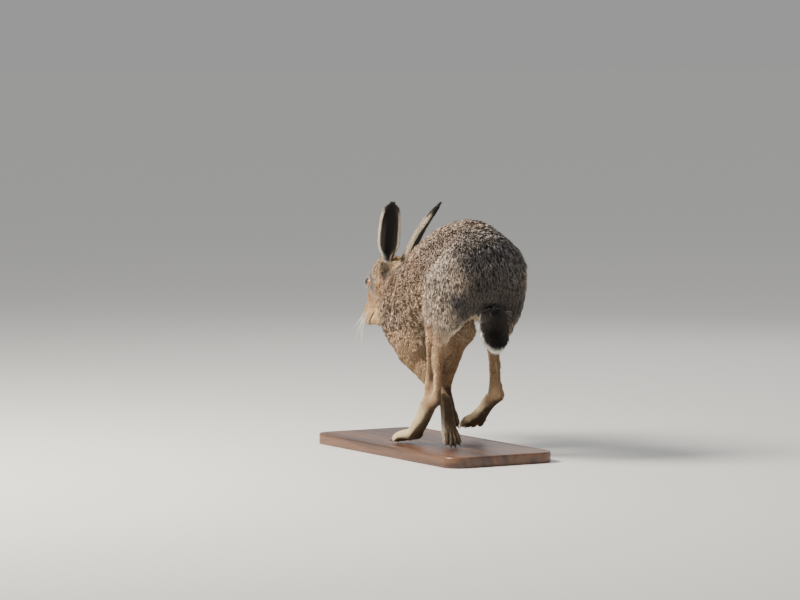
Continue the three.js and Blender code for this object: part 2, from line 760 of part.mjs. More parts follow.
// Half-width and half-depth of an ear at a share of its length, and of its hollow
function earSize(share, inner) {
  const leaf = THREE.MathUtils.smoothstep(share, 0.15, 0.45);
  const tip = Math.sqrt(Math.max(1 - Math.max((share - 0.74) / 0.263, 0) ** 2.2, 0.004));
  const width = (EAR_TUBE / 2 + (EAR_WIDTH - EAR_TUBE) / 2 * leaf) * tip;
  const depth = (EAR_TUBE / 2 + (EAR_DEPTH - EAR_TUBE) / 2 * leaf) * (0.15 + 0.85 * tip ** 2);
  if (!inner) return { width, depth, forward: 0 };
  const wide = THREE.MathUtils.smoothstep(share, EAR_HOLLOW_FROM, 0.4);
  const hollow = Math.max((width - EAR_THICKNESS * 0.55) * (0.42 + 0.58 * wide), 0.4);
  const deep = depth * 1.7;
  return { width: hollow, depth: deep, forward: deep - depth + EAR_THICKNESS };
}

// Faces between rings of points, closed with a flat cap at either end
function ringsToGeometry(positions, rings, sides) {
  const faces = facesBetween(rings, rings + 1, sides);
  for (let j = 1; j < sides - 1; j += 1) {
    faces.push(0, j + 1, j);
    const top = rings * sides;
    faces.push(top, top + j, top + j + 1);
  }
  return indexed(positions, faces);
}

// Faces between rings of points whose last ring meets the first
function loopToGeometry(positions, rings, sides) {
  return indexed(positions, facesBetween(rings, rings, sides));
}

function facesBetween(bands, ringCount, sides) {
  const faces = [];
  for (let i = 0; i < bands; i += 1) {
    const upper = ((i + 1) % ringCount) * sides;
    for (let j = 0; j < sides; j += 1) {
      const next = (j + 1) % sides;
      faces.push(i * sides + j, i * sides + next, upper + next, i * sides + j, upper + next, upper + j);
    }
  }
  return faces;
}

function indexed(positions, faces) {
  const geometry = new THREE.BufferGeometry();
  geometry.setAttribute('position', new THREE.Float32BufferAttribute(positions, 3));
  geometry.setIndex(faces);
  return geometry;
}

function addEar(side) {
  const ear = earLoft(side, false).subtract(earLoft(side, true));
  addMesh(side > 0 ? 'left_ear' : 'right_ear', largest(keep(ear, earCut(side))), FUR_EAR);
}

// Base

function basePlate() {
  const half = { x: BASE_WIDTH / 2 - BASE_EDGE, y: BASE_LENGTH / 2 - BASE_EDGE };
  const outline = new THREE.Shape();
  const corner = BASE_CORNER - BASE_EDGE;
  outline.absarc(half.x - corner, half.y - corner, corner, 0, Math.PI / 2);
  outline.absarc(-half.x + corner, half.y - corner, corner, Math.PI / 2, Math.PI);
  outline.absarc(-half.x + corner, -half.y + corner, corner, Math.PI, Math.PI * 1.5);
  outline.absarc(half.x - corner, -half.y + corner, corner, Math.PI * 1.5, Math.PI * 2);
  const plate = new THREE.ExtrudeGeometry(outline, {
    depth: BASE_THICKNESS - 2 * BASE_EDGE,
    bevelThickness: BASE_EDGE,
    bevelSize: BASE_EDGE,
    bevelSegments: 1,
    curveSegments: 4,
  });
  plate.translate(0, 0, BASE_EDGE);
  return solid(plate);
}

addTrunk();
addHead();
addEar(1);
addEar(-1);
for (const [name, leg] of Object.entries(legs)) {
  if (leg.hind) addHindLeg(name, leg);
  else addForeLeg(name, leg);
}
addMesh('stand_base', basePlate(), BASE_WOOD);

const hare = new THREE.Group();
for (const mesh of meshes) hare.add(mesh);

export default hare;
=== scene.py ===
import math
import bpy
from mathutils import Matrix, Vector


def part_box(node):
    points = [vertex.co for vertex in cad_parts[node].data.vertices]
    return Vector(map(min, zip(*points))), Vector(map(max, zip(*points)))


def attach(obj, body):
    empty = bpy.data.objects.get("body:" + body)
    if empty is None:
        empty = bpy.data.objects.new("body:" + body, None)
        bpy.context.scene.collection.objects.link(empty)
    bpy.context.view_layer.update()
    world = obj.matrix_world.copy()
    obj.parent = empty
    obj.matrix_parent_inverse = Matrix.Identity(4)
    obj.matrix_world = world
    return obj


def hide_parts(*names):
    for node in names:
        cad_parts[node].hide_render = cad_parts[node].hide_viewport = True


bl_info = {
    "name": "Running brown hare",
    "version": (1, 0, 0),
    "blender": (4, 5, 0),
    "location": "3D View > Sidebar > Hare",
    "description": "A life-size brown hare in full stride on a wooden base, with a coat of mesh tufts",
    "category": "Object",
}

import bmesh
import bpy
import numpy as np
from bpy.props import FloatProperty, FloatVectorProperty, IntProperty, PointerProperty
from mathutils import Vector, noise

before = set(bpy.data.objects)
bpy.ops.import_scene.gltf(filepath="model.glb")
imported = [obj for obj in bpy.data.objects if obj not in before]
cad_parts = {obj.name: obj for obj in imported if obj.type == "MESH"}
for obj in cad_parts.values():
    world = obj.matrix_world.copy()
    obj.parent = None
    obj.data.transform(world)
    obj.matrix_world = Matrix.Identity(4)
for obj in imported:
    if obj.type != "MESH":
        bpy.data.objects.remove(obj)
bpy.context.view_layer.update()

MM = 0.001

# A side is 1 on the left and -1 on the right
BOTH = (1, -1)
LEFT = (1,)
RIGHT = (-1,)

# The animal is measured in millimetres from the ground under its hips. The middle of the base is this far
# forward of there, and the ground this far over the base's underside, 0.3 mm clear of its top.
BASE_MIDDLE_FORWARD = 150
GROUND = 18.3

# The photograph looks at the hare from behind its left side, a little from above
CAMERA_AZIMUTH = math.radians(150)
CAMERA_ELEVATION = math.radians(4)
CAMERA_DISTANCE = 6.0
PIXEL = 1.6 * MM
FRAME_SIZE = (800, 600)
HIPS_ON_FRAME = (480, 450)

# The head has its own frame: u towards the nose, v towards the crown, left as on the body
HEAD_MIDDLE = (309, 247)
HEAD_PITCH = math.radians(46)

# The middle of the left eye as u, v and left
EYE_PLACE = (4, 9.5, 17.5)
EYE_RADIUS = 10.2

# The middle line of each ear as forward, left and up, how far it opens outwards and is turned about its
# length, its greatest width, the width of the tube that it grows from, and where the left one grows
EAR_LINES = {
    1: [(272, 14, 280), (265, 17, 308), (257, 19, 344), (242, 22, 387.5)],
    -1: [(272, -14, 280), (256, -20, 305), (235, -27, 339), (191, -39, 387)],
}
EAR_TURNS = {1: math.radians(25), -1: math.radians(21)}
EAR_TWISTS = {1: 0, -1: math.radians(-18)}
EAR_WIDTH = 35.5
EAR_TUBE = 18
EAR_ROOT = (272, 14, 280)

# The lids lie on the eyeball: half length and height of their opening, and thickness of their edge
LID = (8.9, 7.2, 1.1)

# Length and radius of the claws, and radius of the toes, of each kind of leg
CLAWS = {"hind": (11.5, 1.9), "fore": (9.5, 1.6)}
TOE_RADIUS = {"hind": 7.2, "fore": 6.2}

# The solids that the skin goes over
FLESH = [
    "left_hind_thigh", "right_hind_thigh", "left_fore_upper", "right_fore_upper", "rump", "loin", "chest",
    "tail", "neck", "head", "left_hind_shank", "right_hind_shank", "left_hind_foot", "right_hind_foot",
    "left_fore_forearm", "right_fore_forearm", "left_fore_paw", "right_fore_paw",
]

# Joints of the legs below the trunk as forward, left and up, and how far the tips of the toes are apart
LEGS = {
    "left_hind": {
        "knee": (57, 46, 226), "hock": (69, 47, 86), "knuckle": (125, 49, 17), "toe": (156, 58, 7),
        "spread": 9.5,
    },
    "right_hind": {
        "knee": (43, -48, 214), "hock": (27, -47, 83), "knuckle": (109, -60, 38), "toe": (140, -66, 24),
        "spread": 11.5,
    },
    "left_fore": {
        "elbow": (163, 33, 146), "wrist": (80, 17, 72), "knuckle": (66, 18, 25), "toe": (50, 21, 6.5),
        "spread": 8,
    },
    "right_fore": {
        "elbow": (118, -33, 182), "wrist": (147, -22, 86), "knuckle": (128, -19, 46), "toe": (116, -17, 27),
        "spread": 7.4,
    },
}


# Sides, places and directions

def sided(side, name):
    """A piece's name with its side before it."""
    return f"{'left' if side > 0 else 'right'}_{name}"


def plain_piece(name):
    """A piece's name without its side."""
    return name.replace("left_", "").replace("right_", "")


def at(forward, left, up):
    """A place on the animal in metres, from millimetres forward, left and up."""
    return np.array([left, BASE_MIDDLE_FORWARD - forward, up + GROUND]) * MM


def towards(forward, left, up):
    """A unit direction given as forward, left and up."""
    direction = np.array([left, -forward, up], dtype=float)
    return direction / np.linalg.norm(direction)


def face_place(u, v, left):
    """A place in the head's own frame as millimetres forward, left and up."""
    forward = HEAD_MIDDLE[0] + u * math.cos(HEAD_PITCH) + v * math.sin(HEAD_PITCH)
    up = HEAD_MIDDLE[1] - u * math.sin(HEAD_PITCH) + v * math.cos(HEAD_PITCH)
    return forward, left, up


def on_head(u, v, left):
    """A place in the head's own frame, in metres."""
    return at(*face_place(u, v, left))


def eye_middle(side):
    """The middle of an eye, in metres."""
    return on_head(EYE_PLACE[0], EYE_PLACE[1], EYE_PLACE[2] * side)


def body_frame(points):
    """Points in metres as millimetres forward, left and up."""
    return np.stack([
        BASE_MIDDLE_FORWARD - points[:, 1] / MM, points[:, 0] / MM, points[:, 2] / MM - GROUND], axis=1)


def head_frame(points):
    """Points in metres as u, v and left in millimetres."""
    forward = BASE_MIDDLE_FORWARD - points[:, 1] / MM - HEAD_MIDDLE[0]
    up = points[:, 2] / MM - GROUND - HEAD_MIDDLE[1]
    u = forward * math.cos(HEAD_PITCH) - up * math.sin(HEAD_PITCH)
    v = forward * math.sin(HEAD_PITCH) + up * math.cos(HEAD_PITCH)
    return np.stack([u, v, points[:, 0] / MM], axis=1)


def linear(red, green, blue):
    """A colour as the screen shows it, 0 to 255, in the linear values that shaders use."""
    shown = np.array([red, green, blue]) / 255
    return tuple(np.where(shown <= 0.04045, shown / 12.92, ((shown + 0.055) / 1.055) ** 2.4).tolist())


def smoothstep(low, high, values):
    """0 up to low and 1 from high on, with a soft rise between them. It falls where low is over high."""
    share = np.clip((values - low) / (high - low), 0, 1)
    return share * share * (3 - 2 * share)


# Settings that a user would change

def coat_colour(name, description, shown):
    """A colour that a user can change."""
    return FloatVectorProperty(
        name=name, description=description, default=linear(*shown), size=3, min=0, max=1, subtype="COLOR")


class HareColours(bpy.types.PropertyGroup):
    """Colours of the coat, by the part of the body that has them."""

    back: coat_colour("Back", "Pinkish brown of the shoulders and back", (160, 132, 110))
    saddle: coat_colour("Saddle", "Greyer brown along the top of the loin", (146, 127, 112))
    croup: coat_colour("Croup", "Grey of the upper rump", (112, 104, 99))
    rump: coat_colour("Rump", "Dark grey of the rump", (74, 75, 81))
    thigh: coat_colour("Thigh", "Grey buff of the thighs", (194, 176, 159))
    flank: coat_colour("Flank", "Warm brown of the flanks", (164, 138, 112))
    breast: coat_colour("Breast", "Orange tan of the breast and forelegs", (172, 141, 108))
    shank: coat_colour("Shank", "Pinkish tan of the lower legs", (200, 164, 126))
    # Also painted light on the front of the hind shanks and a painted highlight along the front edge of the
    # thighs
    foot: coat_colour("Foot", "Cream of the upper side of the feet", (250, 230, 188))
    # Also painted shade on the rear and inner sides of the legs
    sole: coat_colour("Sole", "Brown of the furred soles", (98, 80, 60))
    belly: coat_colour("Belly", "Cream white of the belly and inner thighs", (224, 208, 186))
    face: coat_colour("Face", "Tan of the face", (176, 138, 100))
    muzzle: coat_colour("Muzzle", "Pale edge of the muzzle", (230, 198, 154))
    cheek: coat_colour("Cheek", "Pale buff of the cheek", (214, 184, 152))
    eye_ring: coat_colour("Eye ring", "Pale ring round the eye", (200, 190, 176))
    # Partly grey skin behind the eye and partly painted shade on the pale ring there
    eye_corner_grey_and_shade: coat_colour("Eye, corner", "Grey behind the eye", (132, 127, 128))
    ruff: coat_colour("Ruff", "Grey brown, strongly flecked side of the shoulder", (150, 128, 110))
    paw: coat_colour("Paw", "Pale grey brown of the forepaws", (178, 168, 150))
    eye_amber: coat_colour("Iris", "Amber of the iris", (158, 96, 40))
    claw: coat_colour("Claw", "Dark horn of the claws", (62, 50, 42))
    wood: coat_colour("Base", "Brown of the wooden base", (104, 68, 44))
    wood_dark: coat_colour("Base, grain", "Dark lines of the base's grain", (58, 36, 24))
    tail_top: coat_colour("Tail, upper side", "Black of the tail's upper side", (13, 13, 15))
    tail_white: coat_colour("Tail, underside", "White of the tail's sides and underside", (232, 229, 222))
    ear_pale: coat_colour("Ear, rear", "Whitish rear of the ears", (238, 231, 219))
    ear_tan: coat_colour("Ear, front", "Tan front of the ears", (152, 122, 90))
    # Partly the dark hair inside the ears and partly painted shade in their hollows
    ear_inside_and_shade: coat_colour("Ear, inside", "Dark inside of the ears", (32, 28, 25))
    ear_fold: coat_colour("Ear, folds", "Grey folds inside the ears", (96, 96, 94))
    # Partly the ears' pale fringe and partly painted light along their edges
    ear_rim: coat_colour("Ear, rim", "Cream rim of the ears", (216, 204, 180))
    bridge: coat_colour("Bridge", "Brown along the top of the nose", (142, 108, 78))
    haunch: coat_colour("Haunch", "Silvery flecked top of the thighs", (194, 180, 166))
    # Painted shade behind the ears, on the neck and withers
    withers_shade: coat_colour("Withers", "Dark brown between neck and back", (118, 96, 78))
    # Painted shade below the ears
    ear_base_shade: coat_colour("Ear, base", "Dark grey brown below the ears", (84, 78, 66))
    # Partly the nape's own pale tan and partly painted light between the ears, where they shade it
    nape: coat_colour("Nape", "Bright tan behind the ears", (236, 210, 164))
    ear_tip: coat_colour("Ear, tip", "Black tips of the ears", (30, 26, 24))
    # Also painted shade in the hollows, folds, nostrils and gaps between the toes, and low on the rump
    dark: coat_colour("Dark hair", "Dark hairs that fleck the coat, lids and nostrils", (36, 30, 27))


class HareSizes(bpy.types.PropertyGroup):
    """Sizes of the skin and coat."""

    voxel: FloatProperty(
        name="Skin cell", description="Size of the cells that the skin is made of",
        default=0.0028, min=0.001, max=0.01, unit="LENGTH", precision=4)
    ear_voxel: FloatProperty(
        name="Ear cell", description="Size of the cells that the ears are made of",
        default=0.0009, min=0.0005, max=0.01, unit="LENGTH", precision=4)
    patch: FloatProperty(
        name="Patch", description="Width of one tuft on the coat's map",
        default=0.003, min=0.0005, max=0.01, precision=4)
    wander: FloatProperty(
        name="Wander", description="How far tufts turn from the lie of the coat",
        default=0.32, min=0, max=1.5, unit="ROTATION")
    whisker: FloatProperty(
        name="Whisker", description="Thickness of a whisker at its root",
        default=0.0005, min=0.0001, max=0.002, unit="LENGTH", precision=5)
    seed: IntProperty(name="Seed", description="Seed of everything random", default=7, min=0)


BACKWARD_ON_FACE = (-math.cos(HEAD_PITCH), 0, math.sin(HEAD_PITCH))

# The coat from place to place: piece, place, lie, how far its tips stand off the skin, length and width of
# a tuft in millimetres, colour, and how strongly it is flecked. One off the middle counts on both sides.
TRUNK_COAT = [
    ("muzzle", face_place(70, -8, 0), BACKWARD_ON_FACE, 0.6, 2.0, 0.45, "muzzle", 0.1),
    ("muzzle", face_place(60, -22, 7), BACKWARD_ON_FACE, 0.7, 2.6, 0.45, "muzzle", 0.1),
    ("muzzle", face_place(56, -8, 14), BACKWARD_ON_FACE, 0.8, 2.8, 0.45, "face", 0.3),
    ("muzzle", face_place(50, 6, 0), BACKWARD_ON_FACE, 0.8, 3, 0.5, "bridge", 0.5),
    ("muzzle", face_place(44, -16, 14), BACKWARD_ON_FACE, 0.9, 3.2, 0.5, "muzzle", 0.3),
    ("face", face_place(30, -2, 14), BACKWARD_ON_FACE, 1.0, 4, 0.6, "face", 0.5),
    ("face", face_place(28, 14, 0), BACKWARD_ON_FACE, 1.2, 4.2, 0.6, "bridge", 0.6),
    ("face", face_place(8, 22, 0), BACKWARD_ON_FACE, 1.8, 6, 0.8, "face", 0.8),
    ("face", face_place(-14, 26, 0), BACKWARD_ON_FACE, 2.4, 8, 0.9, "face", 0.8),
    ("face", face_place(4, 20, 18), BACKWARD_ON_FACE, 1.4, 5, 0.7, "face", 0.7),
    ("face", face_place(12, -12, 22), (-0.9, 0.1, 0.25), 1.8, 6, 0.8, "cheek", 0.3),
    ("face", face_place(-14, 2, 26), (-0.95, 0.1, 0.15), 2.2, 8, 0.9, "cheek", 0.9),
    ("face", face_place(-14, -18, 22), (-0.95, 0.1, -0.2), 2.6, 9, 1.0, "face", 0.9),
    ("muzzle", face_place(46, -32, 0), (-0.9, 0, -0.1), 0.9, 3.2, 0.5, "muzzle", 0.05),
    # Painted shade below the ears
    ("face", (262, 21, 266), (-0.6, 0.2, -0.5), 2.6, 8, 0.9, "ear_base_shade", 0.6),
    ("face", face_place(14, -34, 0), (-0.95, 0, -0.2), 2.4, 8, 1.0, "muzzle", 0.05),
    ("face", face_place(-26, -30, 10), (-0.9, 0, -0.5), 3.5, 11, 1.1, "face", 0.8),
    ("neck", (284, 0, 282), (-0.9, 0, 0.3), 3, 10, 1.0, "face", 0.8),
    # The nape's pale tan with painted light between the ears
    ("neck", (256, 0, 290), (-1, 0, 0.05), 4.5, 13, 1.2, "nape", 0.5),
    # Painted shade behind the ears, on the neck and withers
    ("neck", (212, 26, 280), (-1, 0, 0.2), 5.5, 15, 1.3, "withers_shade", 0.9),
    ("back", (184, 34, 283), (-1, 0, 0.2), 6.5, 17, 1.4, "withers_shade", 1),
    ("neck", (236, 0, 284), (-1, 0, 0.15), 5.5, 15, 1.3, "back", 0.9),
    ("neck", (262, 28, 252), (-0.95, 0.1, -0.3), 4.5, 13, 1.2, "face", 1),
    ("neck", (236, 36, 244), (-0.95, 0.1, -0.35), 5.5, 15, 1.3, "back", 0.8),
    ("neck", (268, 0, 216), (-0.7, 0, -0.7), 5, 15, 1.3, "breast", 0.3),
    ("neck", (256, 24, 214), (-0.75, 0, -0.65), 5, 15, 1.3, "breast", 0.7),
    ("shoulder", (214, 48, 226), (-0.85, 0, -0.5), 6, 16, 1.3, "back", 0.9),
    ("shoulder", (196, 52, 204), (-0.75, 0, -0.65), 6, 16, 1.3, "ruff", 1),
    ("shoulder", (228, 40, 196), (-0.7, 0, -0.7), 6, 16, 1.3, "ruff", 0.9),
    ("shoulder", (232, 16, 176), (-0.6, 0, -0.8), 6, 16, 1.3, "breast", 0.4),
    ("shoulder", (190, 40, 162), (-0.7, 0, -0.7), 5, 15, 1.3, "breast", 0.5),
    ("back", (206, 0, 292), (-1, 0, 0.35), 6.5, 17, 1.4, "back", 0.9),
    ("back", (170, 0, 308), (-1, 0, 0.38), 7, 18, 1.5, "back", 0.9),
    ("back", (130, 0, 332), (-1, 0, 0.38), 7, 18, 1.5, "back", 0.9),
    ("back", (90, 0, 352), (-1, 0, 0.25), 7, 18, 1.5, "saddle", 1),
    ("back", (180, 42, 270), (-0.95, 0, 0.1), 7, 17, 1.5, "back", 0.9),
    ("back", (136, 48, 286), (-0.95, 0, 0.1), 7, 18, 1.5, "back", 0.9),
    ("back", (92, 50, 310), (-0.95, 0, -0.05), 7, 18, 1.5, "saddle", 1),
    ("flank", (160, 52, 224), (-0.95, 0, -0.25), 7, 17, 1.5, "flank", 0.8),
    ("flank", (118, 56, 242), (-0.95, 0, -0.3), 7, 18, 1.5, "flank", 0.8),
    ("flank", (96, 50, 214), (-0.9, 0, -0.3), 6, 17, 1.5, "flank", 0.5),
    ("flank", (160, 0, 174), (-1, 0, 0.15), 5, 15, 1.5, "belly", 0.05),
    ("flank", (110, 0, 190), (-1, 0, 0.2), 5, 15, 1.5, "belly", 0.05),
    ("flank", (60, 0, 202), (-1, 0, 0.1), 5, 15, 1.5, "belly", 0.05),
    ("rump", (50, 0, 364), (-1, 0, 0.02), 7, 19, 1.6, "saddle", 1),
    ("rump", (14, 0, 366), (-0.97, 0, -0.2), 7.5, 20, 1.7, "saddle", 1),
    ("rump", (-24, 0, 354), (-0.75, 0, -0.65), 7.5, 20, 1.7, "croup", 1),
    ("rump", (-56, 0, 328), (-0.4, 0, -0.9), 7.5, 20, 1.7, "rump", 1),
    ("rump", (-72, 0, 292), (-0.1, 0, -1), 7.5, 20, 1.7, "rump", 1),
    ("rump", (-58, 0, 252), (0.15, 0, -1), 7, 19, 1.7, "rump", 0.9),
    ("rump", (-62, 30, 276), (0.0, 0.1, -1), 7, 19, 1.7, "rump", 1),
    ("rump", (-52, 40, 312), (-0.35, 0.1, -0.9), 7, 19, 1.7, "rump", 1),
    ("rump", (-10, 42, 344), (-0.75, 0.1, -0.6), 7, 19, 1.7, "croup", 1),
    ("rump", (40, 46, 340), (-0.9, 0.1, -0.35), 7, 18, 1.6, "saddle", 1),
    ("thigh", (36, 66, 312), (-0.55, 0, -0.8), 6, 18, 1.4, "haunch", 1),
    ("thigh", (-4, 72, 296), (-0.3, 0, -0.95), 6, 18, 1.4, "haunch", 1),
    ("thigh", (-40, 60, 282), (-0.1, 0, -1), 6, 18, 1.6, "thigh", 1),
    ("thigh", (-38, 52, 246), (0.1, 0, -1), 6, 18, 1.6, "rump", 0.9),
    ("thigh", (60, 64, 262), (-0.3, 0, -0.95), 5.5, 17, 1.4, "thigh", 0.8),
    ("thigh", (20, 72, 256), (-0.1, 0, -1), 6, 19, 1.4, "thigh", 1),
    ("thigh", (-8, 62, 224), (0.1, 0, -1), 6, 18, 1.4, "thigh", 1),
    ("thigh", (20, 18, 214), (0, 0, -1), 5, 15, 1.5, "belly", 0.05),
    ("tail", (-34, 0, 222), (-0.25, 0, -1), 6, 16, 1.3, "tail_top", 0),
    ("tail", (-44, 0, 196), (-0.2, 0, -1), 6.5, 17, 1.3, "tail_top", 0),
    ("tail", (-52, 2, 170), (-0.2, 0, -1), 5, 12, 1.2, "tail_top", 0),
]

# The same along each kind of leg, by joint: piece, depth, length, width, colour and flecking
HIND_COAT = {
    "knee": ("thigh", 5, 16, 1.4, "thigh", 0.5), "shin": ("hind_leg", 2.2, 9, 0.9, "shank", 0.35),
    "hock": ("hind_leg", 1.3, 5.5, 0.7, "shank", 0.3), "knuckle": ("hind_leg", 1.1, 4.4, 0.6, "foot", 0.15),
    "toe": ("hind_leg", 1.0, 3.6, 0.5, "foot", 0.1),
}
FORE_COAT = {
    "elbow": ("fore_leg", 3.4, 12, 1.1, "breast", 0.4), "forearm": ("fore_leg", 2.0, 8, 0.8, "breast", 0.3),
    "wrist": ("fore_leg", 1.2, 5, 0.7, "breast", 0.25), "knuckle": ("fore_leg", 1.0, 4.2, 0.6, "paw", 0.3),
    "toe": ("fore_leg", 0.9, 3.4, 0.5, "paw", 0.3),
}

# Least distance between tufts, in millimetres, on each piece of coat
COAT_SPACING = {
    "muzzle": 0.6, "face": 0.8, "neck": 1.0, "shoulder": 1.0, "back": 1.02, "flank": 1.1, "rump": 1.04,
    "thigh": 1.05, "tail": 0.8, "hind_leg": 0.95, "fore_leg": 0.9, "ear": 0.85,
}

# The material slot of each piece of coat that isn't the back's
COAT_SLOTS = {
    "face": "fur_head", "muzzle": "fur_head", "rump": "fur_rump", "thigh": "fur_rump", "tail": "fur_tail",
    "hind_leg": "fur_leg", "fore_leg": "fur_leg",
}


def coat_places():
    """All places of the coat, on both sides."""
    places = []
    for piece, (forward, left, up), lie, depth, length, width, colour, flecks in TRUNK_COAT:
        for side in (BOTH if left else LEFT):
            places.append({
                "piece": sided(side, piece) if piece == "thigh" else piece,
                "place": at(forward, left * side, up), "lie": towards(lie[0], lie[1] * side, lie[2]),
                "depth": depth * MM, "length": length * MM, "width": width * MM, "colour": colour,
                "flecks": flecks, "sole": np.zeros(3),
            })
    for name, leg in LEGS.items():
        places.extend(leg_places(name, leg))
    return places


def leg_places(name, leg):
    """Places of the coat along a leg: at its joints, and halfway from each to the next."""
    hind = "hock" in leg
    coat = HIND_COAT if hind else FORE_COAT
    upper, middle, lower = ("knee", "shin", "hock") if hind else ("elbow", "forearm", "wrist")
    stops = {key: np.array(place, dtype=float) for key, place in leg.items() if key != "spread"}
    stops[middle] = (stops[upper] + stops[lower]) / 2
    order = [upper, middle, lower, "knuckle", "toe"]
    forward, _, up = stops["knuckle"] - stops[lower]
    sole = towards(up, 0, -forward)
    side = name.split("_")[0]
    places = []
    for i, key in enumerate(order):
        piece, depth, length, width, colour, flecks = coat[key]
        before = stops[order[max(i - 1, 0)]]
        after = stops[order[min(i + 1, len(order) - 1)]]
        places.append({
            "piece": f"{side}_{piece}", "place": at(*stops[key]), "lie": towards(*(after - before)),
            "depth": depth * MM, "length": length * MM, "width": width * MM, "colour": colour,
            "flecks": flecks, "sole": sole * (key in (lower, "knuckle", "toe")),
        })
        if key == "toe":
            continue
        following = order[i + 1]
        halfway = (stops[key] + stops[following]) / 2
        _, next_depth, next_length, next_width, next_colour, _ = coat[following]
        places.append(dict(
            places[-1], place=at(*halfway), lie=towards(*(stops[following] - stops[key])),
            depth=(depth + next_depth) / 2 * MM, length=(length + next_length) / 2 * MM,
            width=(width + next_width) / 2 * MM, colour=next_colour))
    return places


# Meshes as arrays

# Corners of the solids, and of a mesh made of rings, are one where they are closer than this, in metres
SAME_PLACE = 1e-6
SAME_RING_PLACE = 1e-7


def points_of(mesh):
    """The places of a mesh's vertices."""
    points = np.empty(len(mesh.vertices) * 3)
    mesh.vertices.foreach_get("co", points)
    return points.reshape(-1, 3)


def set_points(mesh, points):
    """Moves a mesh's vertices."""
    mesh.vertices.foreach_set("co", points.ravel())
    mesh.update()


def normals_of(mesh):
    """The normals of a mesh's vertices."""
    normals = np.empty(len(mesh.vertices) * 3)
    mesh.vertex_normals.foreach_get("vector", normals)
    return normals.reshape(-1, 3)


def edges_of(mesh):
    """The two vertices of each edge of a mesh."""
    edges = np.empty(len(mesh.edges) * 2, dtype=np.int64)
    mesh.edges.foreach_get("vertices", edges)
    return edges.reshape(-1, 2)


def averaged(values, edges, count):
    """The mean of each vertex's neighbours."""
    both = np.concatenate([edges, edges[:, ::-1]])
    number = np.bincount(both[:, 0], minlength=count)
    sums = [np.bincount(both[:, 0], weights=values[both[:, 1], axis], minlength=count) for axis in range(3)]
    return np.stack(sums, axis=1) / np.maximum(number, 1)[:, None]


def smoothed(values, edges, rounds, share=0.5):
    """Values moved towards the mean of their neighbours."""
    for _ in range(rounds):
        values = values + (averaged(values, edges, len(values)) - values) * share
    return values


# The share of a round of smoothing, and the share by which it is then swelled back
SMOOTHING = 0.5
SWELLING = -0.52


def evened(points, edges, rounds):
    """Smooths a surface and swells it back after each round, so that thin parts keep their size."""
    for _ in range(rounds):
        points = smoothed(points, edges, 1, SMOOTHING)
        points = smoothed(points, edges, 1, SWELLING)
    return points


def keep_attribute(mesh, name, kind, values, domain="POINT"):
    """Keeps values on a mesh under a name."""
    attribute = mesh.attributes.new(name, kind, domain)
    field = {"FLOAT": "value", "FLOAT_VECTOR": "vector", "FLOAT_COLOR": "color"}[kind]
    attribute.data.foreach_set(field, np.ascontiguousarray(values).ravel())


def add_object(name, mesh, material=None):
    """An object of a mesh, linked to the scene."""
    thing = bpy.data.objects.new(name, mesh)
    bpy.context.scene.collection.objects.link(thing)
    if material:
        mesh.materials.clear()
        mesh.materials.append(material)
    return thing


def smooth_shaded(mesh):
    """Shades all faces of a mesh smoothly."""
    mesh.polygons.foreach_set("use_smooth", [True] * len(mesh.polygons))


def evaluated_mesh(thing, name):
    """The plain mesh that an object's modifiers make. The object is removed with them."""
    graph = bpy.context.evaluated_depsgraph_get()
    mesh = bpy.data.meshes.new_from_object(
        thing.evaluated_get(graph), preserve_all_data_layers=True, depsgraph=graph)
    mesh.name = name
    thing.modifiers.clear()
    bpy.data.objects.remove(thing)
    return mesh


def remeshed(name, nodes, cell, swell):
    """One closed skin over the named solids, swollen by so much that the cuts between them close."""
    form = bmesh.new()
    for node in nodes:
        form.from_mesh(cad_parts[node].data)
    bmesh.ops.remove_doubles(form, verts=form.verts, dist=SAME_PLACE)
    form.normal_update()
    for vertex in form.verts:
        vertex.co += vertex.normal * swell
    mesh = bpy.data.meshes.new(name)
    form.to_mesh(mesh)
    form.free()
    host = add_object(name, mesh)
    modifier = host.modifiers.new("Skin", "REMESH")
    modifier.mode = "VOXEL"
    modifier.voxel_size = cell
    skin = evaluated_mesh(host, name)
    bpy.data.meshes.remove(mesh)
    return skin


# Node trees

def socket_of(sockets, key):
    """A socket by its number, or the one in use that has this name."""
    if isinstance(key, int):
        return sockets[key]
    return next(socket for socket in sockets if socket.name == key and socket.enabled)


def add_node(tree, kind, inputs=None, **settings):
    """A node with its settings made and its inputs joined to a socket or set to a value."""
    node = tree.nodes.new(kind)
    for name, value in settings.items():
        setattr(node, name, value)
    for key, value in (inputs or {}).items():
        socket = socket_of(node.inputs, key)
        if isinstance(value, bpy.types.NodeSocket):
            tree.links.new(value, socket)
        else:
            socket.default_value = value
    return node


def calculate(tree, operation, *values):
    """The output of a math node."""
    node = add_node(tree, "ShaderNodeMath", dict(enumerate(values)), operation=operation)
    return node.outputs[0]


def vector_calculate(tree, operation, *values):
    """The output of a vector math node."""
    node = add_node(tree, "ShaderNodeVectorMath", dict(enumerate(values)), operation=operation)
    return node.outputs["Value" if operation in ("DOT_PRODUCT", "LENGTH") else "Vector"]


def scaled(tree, vector, factor):
    """A vector or colour times a factor."""
    node = add_node(tree, "ShaderNodeVectorMath", {0: vector, "Scale": factor}, operation="SCALE")
    return node.outputs["Vector"]


def noise_of(tree, place, scale, detail):
    """Noise from 0 to 1 with this many waves to the metre."""
    node = add_node(tree, "ShaderNodeTexNoise", {"Vector": place, "Scale": scale, "Detail": detail})
    return node.outputs[0]


def ramp(tree, value, low, high, start=0.0, end=1.0):
    """A soft step from start, where the value is low, to end, where it is high."""
    inputs = {0: value, 1: low, 2: high, 3: start, 4: end}
    return add_node(tree, "ShaderNodeMapRange", inputs, interpolation_type="SMOOTHSTEP").outputs[0]


